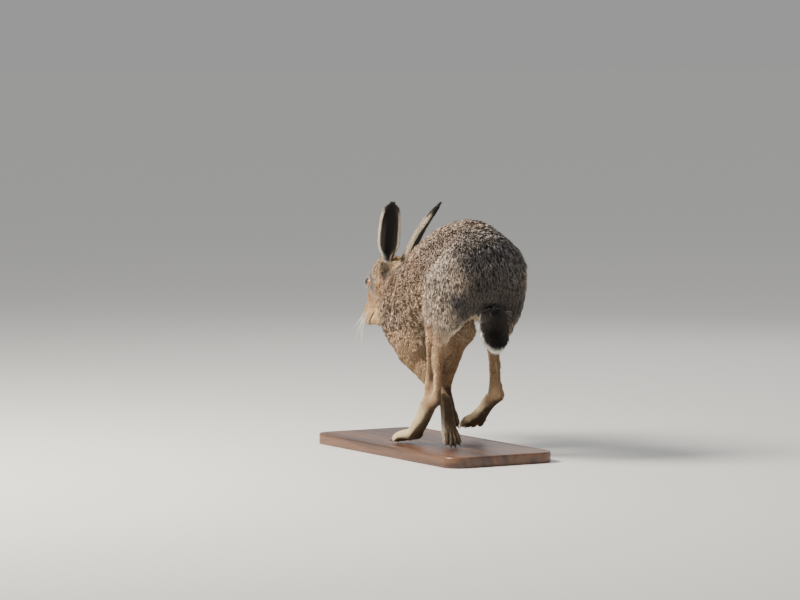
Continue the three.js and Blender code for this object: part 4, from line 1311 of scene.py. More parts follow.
def body_marks(points, normals, field, weights):
    """Markings of the body, each a colour and how strong it is, in the order that they cover each other.
    Some are painted light and shade.
    """
    forward, left, up = body_frame(points).T
    share = {piece: field.share_of(weights, piece) for piece in field.names}
    thigh = share["left_thigh"] + share["right_thigh"]
    hind_leg = share["left_hind_leg"] + share["right_hind_leg"]
    fore_leg = share["left_fore_leg"] + share["right_fore_leg"]
    trunk = share["back"] + share["flank"] + thigh
    ahead = smoothstep(-40, 0, forward)
    down = smoothstep(0.35, 0.85, -normals[:, 2])
    inward = smoothstep(0.3, 0.8, -normals[:, 0] * np.sign(points[:, 0]))
    rearward = smoothstep(0.2, 0.9, normals[:, 1])
    # Where the legs face forwards, painted light falls on the hind shanks
    lit_front = smoothstep(0.0, 0.8, -normals[:, 1] + 0.3 * np.abs(normals[:, 0]))
    # The low rump's own dark coat, with painted shade that deepens where it faces back
    low_rump_dark_and_shade = smoothstep(340, 260, up) * smoothstep(15, -30, forward) * smoothstep(185, 205, up)
    low_rump_dark_and_shade *= (0.35 + 0.65 * rearward) * smoothstep(68, 48, np.abs(left))
    tail = smoothstep(0.45, 0.75, share["tail"]) * smoothstep(232, 222, up)
    underside = -normals[:, 1] + 0.35 * np.abs(normals[:, 0]) - 0.8 * np.clip(normals[:, 2], 0, 1)
    underside += 1.3 * smoothstep(186, 168, up)
    sole = (normals * field.value(weights, "sole")).sum(axis=1)
    # A painted highlight along the front edge of the thighs, just behind their hollow
    thigh_highlight_line = [(stop[0] - 12, stop[1], stop[2] + 4) for stop in THIGH_HOLLOW]
    thigh_highlight_gap = groove_distance(np.stack([forward, np.abs(left), up], axis=1), thigh_highlight_line)
    return [
        ("belly", down * smoothstep(0.3, 0.7, trunk) * ahead),
        ("belly", inward * thigh * ahead * 0.4),
        # The low rump's own dark coat and painted shade
        ("dark", low_rump_dark_and_shade * (1 - share["tail"]) * 0.95),
        # Painted shade on the rear of the hind legs
        ("sole", rearward * hind_leg * smoothstep(60, 100, up) * 0.55),
        # Painted shade on the inner sides of the legs
        ("sole", inward * (hind_leg + fore_leg) * 0.35),
        # Painted light on the front of the hind shanks
        ("foot", lit_front * hind_leg * smoothstep(190, 110, up) * 0.8),
        ("tail_white", tail * smoothstep(-0.15, 0.35, underside)),
        ("sole", smoothstep(0.4, 0.8, sole)),
        # Painted highlight along the front edge of the thighs
        ("foot", np.exp(-(thigh_highlight_gap / 7) ** 2) * 0.3),
    ]


def eye_marks(points):
    """Markings round the eyes: a pale ring, grey behind the eye that is partly painted shade, and the dark
    edge of the lids.
    """
    gap = eye_distance(points)
    on_head_share = on_head_mask(points)
    beside_eye = head_frame(points) - np.array([EYE_PLACE[0], EYE_PLACE[1], 0])
    behind = smoothstep(2, -5, beside_eye[:, 0] + 0.3 * beside_eye[:, 1]) * smoothstep(21, 16, gap)
    return [
        ("eye_ring", smoothstep(22, 15, gap) * on_head_share * 0.75),
        # Grey behind the eye, partly painted shade on the pale ring
        ("eye_corner_grey_and_shade", behind * on_head_share * 0.85),
        ("dark", smoothstep(12.2, 11.2, gap) * 0.9),
    ]


def mark_skin(points, normals, field, weights, painted_shade, colours):
    """Colours of the skin and the coat over it. Painted shade in the hollows and folds comes last and
    darkest.
    """
    marks = body_marks(points, normals, field, weights) + eye_marks(points)
    # Painted shade in the hollows, folds and gaps between the toes
    marks.append(("dark", np.clip(painted_shade, 0, 1) * 0.85))
    return covered(field.marking(points), marks, colours)


def blended(marking, colour, share):
    """A marking moved towards a colour by a share at each point."""
    return marking + (np.array(colour) - marking) * share[:, None]


def covered(marking, marks, colours):
    """A marking with more of them laid over it, one after the other."""
    for name, share in marks:
        marking = blended(marking, getattr(colours, name), share)
    return marking


def keep_coat(mesh, marking, flecks, lie, sizes):
    """Keeps on a skin what its coat and materials read."""
    opaque = np.ones((len(marking), 1))
    keep_attribute(mesh, "marking", "FLOAT_COLOR", np.concatenate([marking, opaque], axis=1))
    keep_attribute(mesh, "flecks", "FLOAT", flecks)
    keep_attribute(mesh, "lie", "FLOAT_VECTOR", lie)
    for key, value in sizes.items():
        keep_attribute(mesh, f"tuft_{key}", "FLOAT", value)


# The solids are swollen by this before they become one skin, which then lies under the tips of its coat by
# this share of the coat's depth, sunk in as many steps
SWELL = 0.4 * MM
COAT_SHARE = 0.85
SINKING_STEPS = 3

# The muzzle is this much longer at the nose and deeper at the chin than the solids, in millimetres
MUZZLE_LONGER = 4.5
MUZZLE_DEEPER = 3.0

# The tail below this height is lifted by this share
TAIL_LIFTED_BELOW = 180
TAIL_LIFT = 0.25

# No tufts grow this near the middle of an eye or a dark fold, in millimetres
BARE_ROUND_EYE = 11.6
BARE_ROUND_FOLD = 1.5


def fine_body(sizes):
    """A smooth skin over the flesh, finer on head and feet and finest on its features, and its points."""
    mesh = remeshed("skin", FLESH, sizes.voxel, SWELL)
    edges = edges_of(mesh)
    points = evened(points_of(mesh), edges, 12)
    forward, _, up = body_frame(points).T
    nape = smoothstep(172, 196, forward) * smoothstep(262, 246, forward) * smoothstep(236, 256, up)
    points += (smoothed(points, edges, 40) - points) * nape[:, None]
    set_points(mesh, points)
    finer(mesh, lambda places: on_head_mask(places) | on_feet_mask(places))
    set_points(mesh, evened(points_of(mesh), edges_of(mesh), 6))
    finer(mesh, on_features_mask)
    points = evened(points_of(mesh), edges_of(mesh), 4)
    set_points(mesh, points)
    return mesh, points


def sunk(mesh, points, field):
    """A skin's points sunk by the depth of its coat, but not round the eyes and ears, which it meets."""
    edges = edges_of(mesh)
    depth = field.value(field.weights(points), "depth") * COAT_SHARE
    depth *= smoothstep(11, 16, eye_distance(points)) * smoothstep(11, 20, ear_root_distance(points))
    for _ in range(SINKING_STEPS):
        points = points - normals_of(mesh) * depth[:, None] / SINKING_STEPS
        points = evened(points, edges, 3)
        set_points(mesh, points)
    return points


def stretched_muzzle(points):
    """Points with the muzzle drawn out and its chin lowered."""
    u, v, _ = head_frame(points).T
    on_head_share = on_head_mask(points)
    longer = MUZZLE_LONGER * smoothstep(16, 70, u) * on_head_share
    deeper = MUZZLE_DEEPER * smoothstep(16, 50, u) * smoothstep(0, -30, v) * on_head_share
    nose = (on_head(1, 0, 0) - on_head(0, 0, 0)) * longer[:, None]
    chin = (on_head(0, -1, 0) - on_head(0, 0, 0)) * deeper[:, None]
    return points + nose + chin


def skin_form(sizes, field):
    """The body under its coat with hollows and folds, the painted shade that fills them, and how far the
    folds are.
    """
    mesh, points = fine_body(sizes)
    points = sunk(mesh, points, field)
    face, face_shade, gap = face_depth(points)
    body, body_shade = body_depth(points)
    points = stretched_muzzle(points - normals_of(mesh) * (face + body)[:, None] * MM)
    up = body_frame(points)[:, 2]
    tail = smoothstep(0.5, 0.9, field.share_of(field.weights(points), "tail"))
    points[:, 2] += np.clip(TAIL_LIFTED_BELOW - up, 0, None) * TAIL_LIFT * tail * MM
    set_points(mesh, points)
    return mesh, np.maximum(face_shade, body_shade), gap


def make_skin(sizes, colours, finishes):
    """The skin, the names of its pieces of coat, the piece of each point, and the points that stay bare."""
    field = CoatField(colours, sizes.seed)
    mesh, painted_shade, fold_gap = skin_form(sizes, field)
    points = points_of(mesh)
    weights = field.weights(points)
    normals = normals_of(mesh)
    lie = laid_flat(field.value(weights, "lie"), normals)
    lie = laid_flat(smoothed(lie, edges_of(mesh), 6), normals)
    marking = mark_skin(points, normals, field, weights, painted_shade, colours)
    tufts = {key: field.value(weights, key) for key in ("length", "width", "depth")}
    eye_gap = eye_distance(points)
    shorter = (0.45 + 0.55 * smoothstep(12, 22, eye_gap)) * (0.5 + 0.5 * smoothstep(1.5, 6, fold_gap))
    for key in ("length", "width"):
        tufts[key] *= shorter
    keep_coat(mesh, marking, field.value(weights, "flecks"), lie, tufts)
    smooth_shaded(mesh)
    skin = add_object("skin", mesh, finishes.skin_material)
    bare = (eye_gap < BARE_ROUND_EYE) | (fold_gap < BARE_ROUND_FOLD)
    return skin, field.names, field.owners(weights), bare


def owned_faces(mesh, owner, wanted, bare):
    """Numbers of the faces whose first corner belongs to a piece and that aren't bare."""
    first = np.array([mesh.loops[face.loop_start].vertex_index for face in mesh.polygons])
    return np.flatnonzero((owner[first] == wanted) & ~bare[first])


# Ears

# Samples of an ear's middle line between two of its stops, of which each third is tried for the nearest
EAR_SAMPLES = 24
EAR_SKIP = 3

# Size of the tufts of an ear in millimetres: length, width and height, with what they lose inside the ear
# and gain on its edge
EAR_TUFT = {"length": (3.6, 0.9, 3.0), "width": (0.62, 0, 0), "depth": (0.75, 0.3, 0.25)}


def ear_line(side):
    """Samples along an ear's middle line: place, tangent, opening direction and direction across."""
    stops = [np.array(stop, dtype=float) for stop in EAR_LINES[side]]
    stops = [2 * stops[0] - stops[1]] + stops + [2 * stops[-1] - stops[-2]]
    places = []
    for before, start, end, after in zip(stops, stops[1:], stops[2:], stops[3:]):
        for share in np.linspace(0, 1, EAR_SAMPLES, endpoint=False):
            places.append(0.5 * (
                2 * start + (end - before) * share + (2 * before - 5 * start + 4 * end - after) * share ** 2
                + (3 * start - before - 3 * end + after) * share ** 3))
    places.append(stops[-2])
    line = np.array([at(*place) for place in places])
    tangents = np.gradient(line, axis=0)
    tangents /= np.linalg.norm(tangents, axis=1)[:, None]
    turn = EAR_TURNS[side]
    opening = np.array([math.sin(turn) * side, math.cos(turn), 0])
    front = opening - tangents * (tangents @ opening)[:, None]
    front /= np.linalg.norm(front, axis=1)[:, None]
    return line, tangents, front, np.cross(front, tangents)


def shaped_ear(side, points, line, front, across):
    """An ear's points, turned about its length and narrower to tip and root, and where each one is."""
    gaps = ((points[:, None, :] - line[None, ::EAR_SKIP, :]) ** 2).sum(axis=2)
    nearest = np.argmin(gaps, axis=1) * EAR_SKIP
    along = nearest / (len(line) - 1)
    offset = points - line[nearest]
    aside = (offset * across[nearest]).sum(axis=1) / MM
    ahead = (offset * front[nearest]).sum(axis=1) / MM
    twist = EAR_TWISTS[side] * smoothstep(0.08, 0.35, along)
    lengthwise = offset - (across[nearest] * aside[:, None] + front[nearest] * ahead[:, None]) * MM
    turned_aside = aside * np.cos(twist) + ahead * np.sin(twist)
    turned_ahead = ahead * np.cos(twist) - aside * np.sin(twist)
    points = line[nearest] + lengthwise + (
        across[nearest] * turned_aside[:, None] + front[nearest] * turned_ahead[:, None]) * MM
    narrower = 1 - 0.11 * smoothstep(0.6, 0.95, along) - 0.06 * smoothstep(0.5, 0.22, along)
    beside = ((points - line[nearest]) * across[nearest]).sum(axis=1)
    points = points + across[nearest] * (beside * (narrower - 1))[:, None]
    return points, nearest, along, aside


def ear_edge(along, aside):
    """How far each point is on the edge of an ear, which tapers to its tip and is a tube at its root."""
    tip = np.sqrt(np.clip(1 - np.clip((along - 0.74) / 0.263, 0, 1) ** 2.2, 0.004, 1))
    leaf = smoothstep(0.15, 0.45, along)
    half = (EAR_TUBE / 2 + (EAR_WIDTH - EAR_TUBE) / 2 * leaf) * tip
    return smoothstep(0.74, 0.9, np.abs(aside) / half) * smoothstep(0.12, 0.25, along)


def ear_marking(side, along, aside, inside, edge, colours):
    """Pale behind and tan in front with painted shade at the root, dark inside with grey folds, a cream rim
    and a black tip. The dark inside is partly painted shade and the rim partly painted light.
    """
    medial = smoothstep(-4, 6, aside * -side)
    tip_from = along - 0.09 * (1 - medial) * (side < 0)
    outer = covered(np.tile(np.array(colours.ear_pale), (len(along), 1)), [
        ("ear_tan", medial * 0.75), ("ear_tan", smoothstep(0.35, 0.1, along) * 0.6),
        # Painted shade on the outer side at the ear's root, then its black tip
        ("rump", smoothstep(0.2, 0.05, along) * 0.5), ("ear_tip", smoothstep(0.80, 0.88, tip_from)),
    ], colours)
    # The dark inside is partly the ear's own hair and partly painted shade in its hollow
    inner = covered(np.tile(np.array(colours.ear_inside_and_shade), (len(along), 1)), [
        ("ear_fold", smoothstep(4, 9, aside * side) * smoothstep(0.9, 0.5, along) * 0.7),
        ("ear_fold", smoothstep(0.3, 0.12, along) * 0.8), ("ear_tip", smoothstep(0.75, 0.85, along)),
    ], colours)
    marking = outer + (inner - outer) * inside[:, None]
    # The cream rim is partly the ear's pale fringe and partly painted light along its edge
    return blended(marking, colours.ear_rim, edge * smoothstep(0.93, 0.82, along) * 0.9)


def make_ear(side, sizes, colours, finishes):
    """An ear's skin, with its colours and the lie of its hair."""
    name = sided(side, "ear")
    mesh = remeshed(name, [name], sizes.ear_voxel, 0)
    points = evened(points_of(mesh), edges_of(mesh), 8)
    set_points(mesh, points)
    smooth_normals = normals_of(mesh)
    line, tangents, front, across = ear_line(side)
    points, nearest, along, aside = shaped_ear(side, points, line, front, across)
    facing = (smooth_normals * front[nearest]).sum(axis=1)
    set_points(mesh, points)
    inside = smoothstep(-0.1, 0.35, facing) * smoothstep(0.1, 0.16, along)
    edge = ear_edge(along, aside)
    outwards = across[nearest] * (np.sign(aside) * edge * 0.5)[:, None]
    lie = laid_flat(tangents[nearest] + outwards, normals_of(mesh))
    tufts = {
        key: (whole - less_inside * inside + more_on_edge * edge) * MM
        for key, (whole, less_inside, more_on_edge) in EAR_TUFT.items()}
    marking = ear_marking(side, along, aside, inside, edge, colours)
    keep_coat(mesh, marking, 0.5 * (1 - inside) * (1 - edge), lie, tufts)
    smooth_shaded(mesh)
    return add_object(f"{name}_skin", mesh, finishes.skin_material)


# Eyes and lids

# Rings of an eyeball from its front to its rear, and corners round each. The poles are left open by this
# angle, and their small holes closed flat.
EYE_RINGS = 44
EYE_CORNERS = 64
EYE_POLE = 0.004

# The cornea stands out by this share of the radius, within this angle of the gaze
CORNEA_SHARE = 0.028
CORNEA_REACH = 0.62

# Steps along the lids, and corners of their round edge
LID_STEPS = 72
LID_CORNERS = 12


def grid_mesh(name, rings, closed_along=False):
    """A mesh over rings of points, each ring closed, with flat ends where the rings don't meet."""
    count = len(rings[0])
    points = [tuple(point) for ring in rings for point in ring]
    faces = []
    for row in range(len(rings) if closed_along else len(rings) - 1):
        after = (row + 1) % len(rings)
        for i in range(count):
            j = (i + 1) % count
            faces.append((row * count + i, row * count + j, after * count + j, after * count + i))
    if not closed_along:
        faces.append(tuple(reversed(range(count))))
        faces.append(tuple(range((len(rings) - 1) * count, len(rings) * count)))
    mesh = bpy.data.meshes.new(name)
    mesh.from_pydata(points, [], faces)
    form = bmesh.new()
    form.from_mesh(mesh)
    bmesh.ops.remove_doubles(form, verts=form.verts, dist=SAME_RING_PLACE)
    bmesh.ops.recalc_face_normals(form, faces=form.faces)
    form.to_mesh(mesh)
    form.free()
    smooth_shaded(mesh)
    return mesh


def make_eye(side, material):
    """An eyeball with its cornea a little proud, marked by how far each point turns from the gaze."""
    middle = eye_middle(side)
    gaze = towards(0.25, side, 0.05)
    right = np.cross(gaze, (0, 0, 1))
    right /= np.linalg.norm(right)
    upward = np.cross(right, gaze)
    rings = []
    for turned in np.linspace(EYE_POLE, math.pi - EYE_POLE, EYE_RINGS):
        radius = EYE_RADIUS * (1 + CORNEA_SHARE * math.exp(-(turned / CORNEA_REACH) ** 4))
        ring = []
        for spin in np.linspace(0, 2 * math.pi, EYE_CORNERS, endpoint=False):
            aside = right * math.cos(spin) + upward * math.sin(spin)
            ring.append(middle + (gaze * math.cos(turned) + aside * math.sin(turned)) * radius * MM)
        rings.append(ring)
    name = sided(side, "eyeball")
    mesh = grid_mesh(name, rings)
    offset = points_of(mesh) - middle
    offset /= np.linalg.norm(offset, axis=1)[:, None]
    keep_attribute(mesh, "turned", "FLOAT", np.arccos(np.clip(offset @ gaze, -1, 1)))
    flat = laid_flat(offset, np.tile(gaze, (len(offset), 1)))
    keep_attribute(mesh, "spoke", "FLOAT_VECTOR", flat)
    return add_object(name, mesh, material)


def lid_ring(side, turn):
    """One round section of the lids' edge, which is drawn out at both corners of the eye."""
    half_length, half_height, thickness = LID
    corner = abs(math.cos(turn)) ** 6
    u = half_length * math.cos(turn) * (1 + 0.14 * corner)
    v = half_height * math.sin(turn) * (0.86 if turn < math.pi else 1) - 0.7 * math.cos(turn) * corner
    over = EYE_RADIUS + 0.35
    left = math.sqrt(max(over ** 2 - u * u - v * v, 4))
    middle = on_head(EYE_PLACE[0] + u, EYE_PLACE[1] + v, (EYE_PLACE[2] + left) * side)
    away = middle - eye_middle(side)
    away /= np.linalg.norm(away)
    level = on_head(u, v, 0) - on_head(0, 0, 0)
    outwards = level - away * (level @ away)
    outwards /= np.linalg.norm(outwards)
    thick = thickness * (1.0 + 0.35 * max(math.sin(turn), 0) - 0.3 * corner)
    return [
        middle + (outwards * (math.cos(roll) * 1.7 + 0.5) + away * math.sin(roll)) * thick * MM
        for roll in np.linspace(0, 2 * math.pi, LID_CORNERS, endpoint=False)]


def make_lid(side, colours, material):
    """The lids as one rolled edge that lies on the eyeball, dark inside and pale outside."""
    rings = [lid_ring(side, turn) for turn in np.linspace(0, 2 * math.pi, LID_STEPS, endpoint=False)]
    name = sided(side, "lids")
    mesh = grid_mesh(name, rings, closed_along=True)
    points = points_of(mesh)
    span = head_frame(points) - np.array([EYE_PLACE[0], EYE_PLACE[1], 0])
    reach = np.hypot(span[:, 0] / LID[0], span[:, 1] / LID[1])
    marking = np.tile(np.array(colours.dark) * 0.6, (len(points), 1))
    marking = blended(marking, colours.eye_ring, smoothstep(1.04, 1.3, reach) * 0.75)
    lie = laid_flat(np.tile(towards(*BACKWARD_ON_FACE), (len(points), 1)), normals_of(mesh))
    keep_coat(mesh, marking, np.zeros(len(points)), lie, {})
    return add_object(name, mesh, material)


# Whiskers and claws

# The whiskers root in rows and columns, this far apart on the face, and each has this many steps
WHISKER_ROWS = 3
WHISKER_COLUMNS = 4
WHISKER_START = (45, -10)
WHISKER_GAPS = (5.2, 4.2)
WHISKER_STEPS = 8
WHISKER_SIDES = 5

CLAW_STEPS = 6
CLAW_SIDES = 12


def whisker_line(skin_points, side, row, column, chance):
    """The places and radii of one whisker, which roots in its pad and droops outwards and down."""
    u = WHISKER_START[0] + column * WHISKER_GAPS[0] + chance.uniform(-1, 1)
    v = WHISKER_START[1] - row * WHISKER_GAPS[1] + chance.uniform(-0.6, 0.6)
    wanted = on_head(u, v, 24 * side)
    near = np.linalg.norm(skin_points - wanted, axis=1)
    root = skin_points[near.argmin()]
    middle = on_head(u, v - 1, 0)
    outwards = (root - middle) / np.linalg.norm(root - middle)
    outwards = outwards * 0.75 + towards(-0.1 - 0.15 * column, 0, -0.4)
    droop = towards(
        -0.35 + 0.28 * column + chance.uniform(-0.15, 0.15),
        side * (0.1 + 0.3 * (2 - row) + chance.uniform(-0.1, 0.1)), -1.0)
    length = (44 + 7 * (3 - column) + chance.uniform(-6, 8)) * MM
    if row == 0:
        length *= 0.7
    place = root - outwards * 1.2 * MM
    places = [place]
    radii = [1.0]
    for share in np.linspace(0, 1, WHISKER_STEPS + 1)[1:]:
        heading = outwards * (1 - share) ** 1.5 * 0.9 + droop * (0.2 + 0.8 * share)
        place = place + heading / np.linalg.norm(heading) * length / WHISKER_STEPS
        places.append(place)
        radii.append(max(1 - share, 0.12) ** 0.8)
    return places, radii


def whisker_lines(skin_points, radius, seed):
    """Lines of the whiskers on both sides of the muzzle."""
    chance = np.random.default_rng(seed)
    lines = []
    for side in BOTH:
        for row in range(WHISKER_ROWS):
            for column in range(WHISKER_COLUMNS):
                places, radii = whisker_line(skin_points, side, row, column, chance)
                lines.append((places, [share * radius for share in radii]))
    return lines


def claw_lines():
    """Lines of the claws, which curve down from the tips of the toes."""
    lines = []
    for name in LEGS:
        kind = "hind" if "hind" in name else "fore"
        length, radius = CLAWS[kind]
        for start, end in toe_lines(name):
            middle = (start + end) / 2 + np.array([0, 0, TOE_RADIUS[kind] * 0.4])
            direction = (end - middle) / np.linalg.norm(end - middle)
            root = end + direction * (TOE_RADIUS[kind] * 0.82 - length * 0.5)
            down = np.array([0, 0, -1.0])
            places = []
            radii = []
            for share in np.linspace(0, 1, CLAW_STEPS + 1):
                place = root + direction * length * share + down * 1.6 * (share ** 2 - share * 0.5)
                places.append(at(*place))
                radii.append(radius * MM * max(1 - share ** 1.6, 0.08))
            lines.append((places, radii))
    return lines


# Base

# Radius of the base's corners and of its top edge in millimetres, and their steps
BASE_CORNER = 26
BASE_EDGE = 3
CORNER_STEPS = 12
EDGE_STEPS = 8

# The line cut round the top: how far in its edges and its floor begin and end, and how deep it is
BASE_LINE = (8.6, 9.1, 10.1, 10.6)
BASE_LINE_DEPTH = 0.7


def base_profile(height):
    """The base's side from its underside to the flat of its top, as how far in and how high."""
    profile = [(1.0, 0.0), (0.3, 0.3), (0.0, 1.0)]
    for step in range(EDGE_STEPS + 1):
        turn = step / EDGE_STEPS * math.pi / 2
        inset = BASE_EDGE - BASE_EDGE * math.cos(turn)
        profile.append((inset, height - BASE_EDGE + BASE_EDGE * math.sin(turn)))
    edge, floor, floor_end, edge_end = BASE_LINE
    floor_height = height - BASE_LINE_DEPTH
    return profile + [(edge, height), (floor, floor_height), (floor_end, floor_height), (edge_end, height)]


def base_ring(low, high, inset, up):
    """A rounded rectangle inside the base's outline, at a height."""
    corner = BASE_CORNER * MM
    radius = corner - inset * MM
    ring = []
    for quarter, (x, y) in enumerate(((1, 1), (-1, 1), (-1, -1), (1, -1))):
        middle_x = high.x - corner if x > 0 else low.x + corner
        middle_y = high.y - corner if y > 0 else low.y + corner
        for step in range(CORNER_STEPS + 1):
            turn = (quarter + step / CORNER_STEPS) * math.pi / 2
            across = middle_x + radius * math.cos(turn)
            ring.append((across, middle_y + radius * math.sin(turn), low.z + up * MM))
    return ring


def make_base(material):
    """A plate with rounded corners and edges, and a fine line cut round its top."""
    low, high = (Vector(corner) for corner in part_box("stand_base"))
    profile = base_profile((high.z - low.z) / MM)
    mesh = grid_mesh("base_plate", [base_ring(low, high, inset, up) for inset, up in profile])
    form = bmesh.new()
    form.from_mesh(mesh)
    for face in form.faces:
        face.smooth = len(face.verts) == 4
    form.to_mesh(mesh)
    form.free()
    return add_object("base_plate", mesh, material)


# Stage

# The lights in metres and watts from where they aim: name, offset, width, power and colour
WARM_LIGHT = (1.0, 0.93, 0.83)
COOL_LIGHT = (0.92, 0.96, 1.0)
LIGHTS = [
    ("key", (1.6, -0.3, 1.45), 0.8, 138, WARM_LIGHT),
    ("fill", (0.3, 2.4, 0.8), 1.8, 6, COOL_LIGHT),
    ("far_side", (-1.6, -1.4, 1.4), 1.6, 14, COOL_LIGHT),
]
LIGHTS_AIM = at(110, 0, 190)
FLOOR_HALF = 60
SKY_LOW = (0.57, 0.57, 0.566, 1)
SKY_HIGH = (0.97, 0.985, 1, 1)
SKY_STRENGTH = 0.62


def make_floor():
    """A plain pale floor, wide enough to meet the sky."""
    form = bmesh.new()
    bmesh.ops.create_grid(form, x_segments=1, y_segments=1, size=FLOOR_HALF)
    mesh = bpy.data.meshes.new("floor")
    form.to_mesh(mesh)
    form.free()
    material = new_material(
        "floor", Base_Color=(0.62, 0.61, 0.585, 1), Roughness=0.9, Specular_IOR_Level=0.0)[0]
    return add_object("floor", mesh, material)


def make_sky(scene):
    """A pale sky that is as light as the floor where they meet."""
    world = bpy.data.worlds.new("studio")
    world.use_nodes = True
    tree = world.node_tree
    direction = add_node(tree, "ShaderNodeTexCoord").outputs["Generated"]
    upwards = add_node(tree, "ShaderNodeSeparateXYZ", {0: direction}).outputs[2]
    sky = mixed(tree, ramp(tree, upwards, 0.0, 0.5), SKY_LOW, SKY_HIGH)
    background = tree.nodes["Background"]
    tree.links.new(sky, background.inputs["Color"])
    background.inputs["Strength"].default_value = SKY_STRENGTH
    scene.world = world


def add_lights(scene):
    """Soft square lights that aim at the middle of the hare."""
    for name, offset, width, power, colour in LIGHTS:
        light = bpy.data.lights.new(name, "AREA")
        light.size = width
        light.energy = power
        light.color = colour
        lamp = bpy.data.objects.new(name, light)
        lamp.location = Vector(LIGHTS_AIM) + Vector(offset)
        lamp.rotation_euler = (-Vector(offset)).to_track_quat("-Z", "Y").to_euler()
        scene.collection.objects.link(lamp)


def add_camera(scene):
    """A camera that shows the hare at the photograph's angle and size."""
    back = Vector((
        math.sin(CAMERA_AZIMUTH) * math.cos(CAMERA_ELEVATION),
        -math.cos(CAMERA_AZIMUTH) * math.cos(CAMERA_ELEVATION), math.sin(CAMERA_ELEVATION)))
    right = Vector((math.cos(CAMERA_AZIMUTH), math.sin(CAMERA_AZIMUTH), 0))
    upward = back.cross(right)
    width, height = FRAME_SIZE
    data = bpy.data.cameras.new("camera")
    data.sensor_width = 36
    data.lens = data.sensor_width * CAMERA_DISTANCE / (width * PIXEL)
    camera = bpy.data.objects.new("camera", data)
    aside = right * (width / 2 - HIPS_ON_FRAME[0]) * PIXEL
    raised = upward * (HIPS_ON_FRAME[1] - height / 2) * PIXEL
    camera.location = Vector(at(0, 0, 0)) + aside + raised + back * CAMERA_DISTANCE
    camera.rotation_euler = back.to_track_quat("Z", "Y").to_euler()
    scene.collection.objects.link(camera)
    scene.camera = camera


# Operators, one for each piece or group of like pieces

# What an operator leaves for those after it: the finishes, the skin, its coat pieces and the groomer
STATE = {}

# The seed of an ear's coat is this much over that of the body, and one more or less for its side
EAR_SEED = 50


def settle(piece, slot, *nodes):
    """Says what a piece rides on and hides the solids that it stands for. Its slot is not used."""
    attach(piece, "root")
    if nodes:
        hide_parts(*nodes)


class HARE_OT_skin(bpy.types.Operator):
    """Makes one skin over the hare's body, inside the tips of its coat"""

    bl_idname = "hare.skin"
    bl_label = "Skin"

    def execute(self, context):
        scene = context.scene
        STATE["finishes"] = Finishes(scene.hare_colours)
        skin, names, owner, bare = make_skin(scene.hare_sizes, scene.hare_colours, STATE["finishes"])
        settle(skin, "fur_back", *FLESH)
        STATE["skin"] = skin
        STATE["coat"] = (names, owner, bare)
        return {"FINISHED"}


class HARE_OT_coat(bpy.types.Operator):
    """Grows the coat in tufts over the skin, a piece for each part of the body"""

    bl_idname = "hare.coat"
    bl_label = "Coat"

    def execute(self, context):
        sizes = context.scene.hare_sizes
        groomer = Groomer(sizes)
        STATE["groomer"] = groomer
        material = STATE["finishes"].coat_material
        names, owner, bare = STATE["coat"]
        skin = STATE["skin"].data
        for number, name in enumerate(names):
            plain = plain_piece(name)
            faces = owned_faces(skin, owner, number, bare)
            seed = sizes.seed + number
            coat = groomer.grow(f"coat_{name}", skin, faces, COAT_SPACING[plain], material, seed)
            settle(coat, COAT_SLOTS.get(plain, "fur_back"))
        return {"FINISHED"}


class HARE_OT_ears(bpy.types.Operator):
    """Makes both ears with their short hair"""

    bl_idname = "hare.ears"
    bl_label = "Ears"

    def execute(self, context):
        scene = context.scene
        finishes = STATE["finishes"]
        for side in BOTH:
            name = sided(side, "ear")
            ear = make_ear(side, scene.hare_sizes, scene.hare_colours, finishes)
            settle(ear, "fur_ear", name)
            faces = np.arange(len(ear.data.polygons))
            seed = scene.hare_sizes.seed + EAR_SEED + side
            coat = STATE["groomer"].grow(
                f"coat_{name}", ear.data, faces, COAT_SPACING["ear"], finishes.coat_material, seed)
            settle(coat, "fur_ear")
        return {"FINISHED"}


class HARE_OT_eyes(bpy.types.Operator):
    """Makes the eyeballs and the lids round them"""

    bl_idname = "hare.eyes"
    bl_label = "Eyes"

    def execute(self, context):
        finishes = STATE["finishes"]
        material = finishes.eye()
        for side in BOTH:
            settle(make_eye(side, material), "eye", sided(side, "eye"))
            settle(make_lid(side, context.scene.hare_colours, finishes.skin_material), "fur_head")
        return {"FINISHED"}


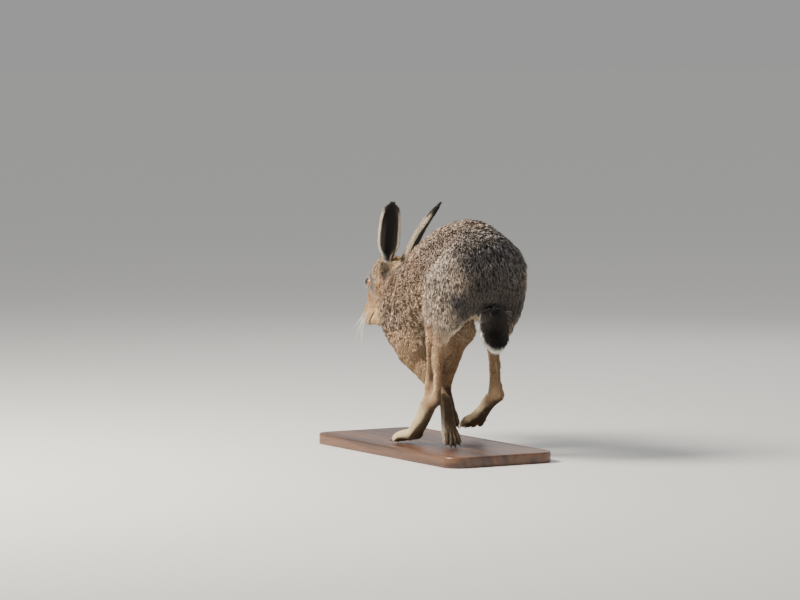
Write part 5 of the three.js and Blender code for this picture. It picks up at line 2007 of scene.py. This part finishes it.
class HARE_OT_strands(bpy.types.Operator):
    """Makes the whiskers and the claws"""

    bl_idname = "hare.strands"
    bl_label = "Whiskers and claws"

    def execute(self, context):
        finishes = STATE["finishes"]
        sizes = context.scene.hare_sizes
        whiskers = whisker_lines(points_of(STATE["skin"].data), sizes.whisker / 2, sizes.seed)
        settle(make_strands("whiskers", whiskers, WHISKER_SIDES, finishes.whisker()), "fur_head")
        settle(make_strands("claws", claw_lines(), CLAW_SIDES, finishes.claw()), "fur_leg")
        return {"FINISHED"}


class HARE_OT_base(bpy.types.Operator):
    """Makes the wooden base"""

    bl_idname = "hare.base"
    bl_label = "Base"

    def execute(self, context):
        settle(make_base(STATE["finishes"].wood()), "base_wood", "stand_base")
        return {"FINISHED"}


class HARE_OT_stage(bpy.types.Operator):
    """Adds the pale floor, the sky, the soft lights and the camera"""

    bl_idname = "hare.stage"
    bl_label = "Stage"

    def execute(self, context):
        make_floor()
        make_sky(context.scene)
        add_lights(context.scene)
        add_camera(context.scene)
        return {"FINISHED"}


class HARE_PT_panel(bpy.types.Panel):
    """Lists the pieces of the hare and their sizes and colours"""

    bl_label = "Hare"
    bl_space_type = "VIEW_3D"
    bl_region_type = "UI"
    bl_category = "Hare"

    def draw(self, context):
        layout = self.layout
        for operator in OPERATORS:
            layout.operator(operator.bl_idname)
        for group in (context.scene.hare_sizes, context.scene.hare_colours):
            for name in group.__annotations__:
                layout.prop(group, name)


OPERATORS = (
    HARE_OT_skin, HARE_OT_coat, HARE_OT_ears, HARE_OT_eyes, HARE_OT_strands, HARE_OT_base, HARE_OT_stage)
CLASSES = (HareColours, HareSizes, *OPERATORS, HARE_PT_panel)


def register():
    for entry in CLASSES:
        bpy.utils.register_class(entry)
    bpy.types.Scene.hare_colours = PointerProperty(type=HareColours)
    bpy.types.Scene.hare_sizes = PointerProperty(type=HareSizes)


def unregister():
    del bpy.types.Scene.hare_sizes
    del bpy.types.Scene.hare_colours
    for entry in reversed(CLASSES):
        bpy.utils.unregister_class(entry)


def main():
    """Makes the hare and its stage."""
    register()
    bpy.ops.hare.skin()
    bpy.ops.hare.coat()
    bpy.ops.hare.ears()
    bpy.ops.hare.eyes()
    bpy.ops.hare.strands()
    bpy.ops.hare.base()
    bpy.ops.hare.stage()


if __name__ == "__main__":
    main()
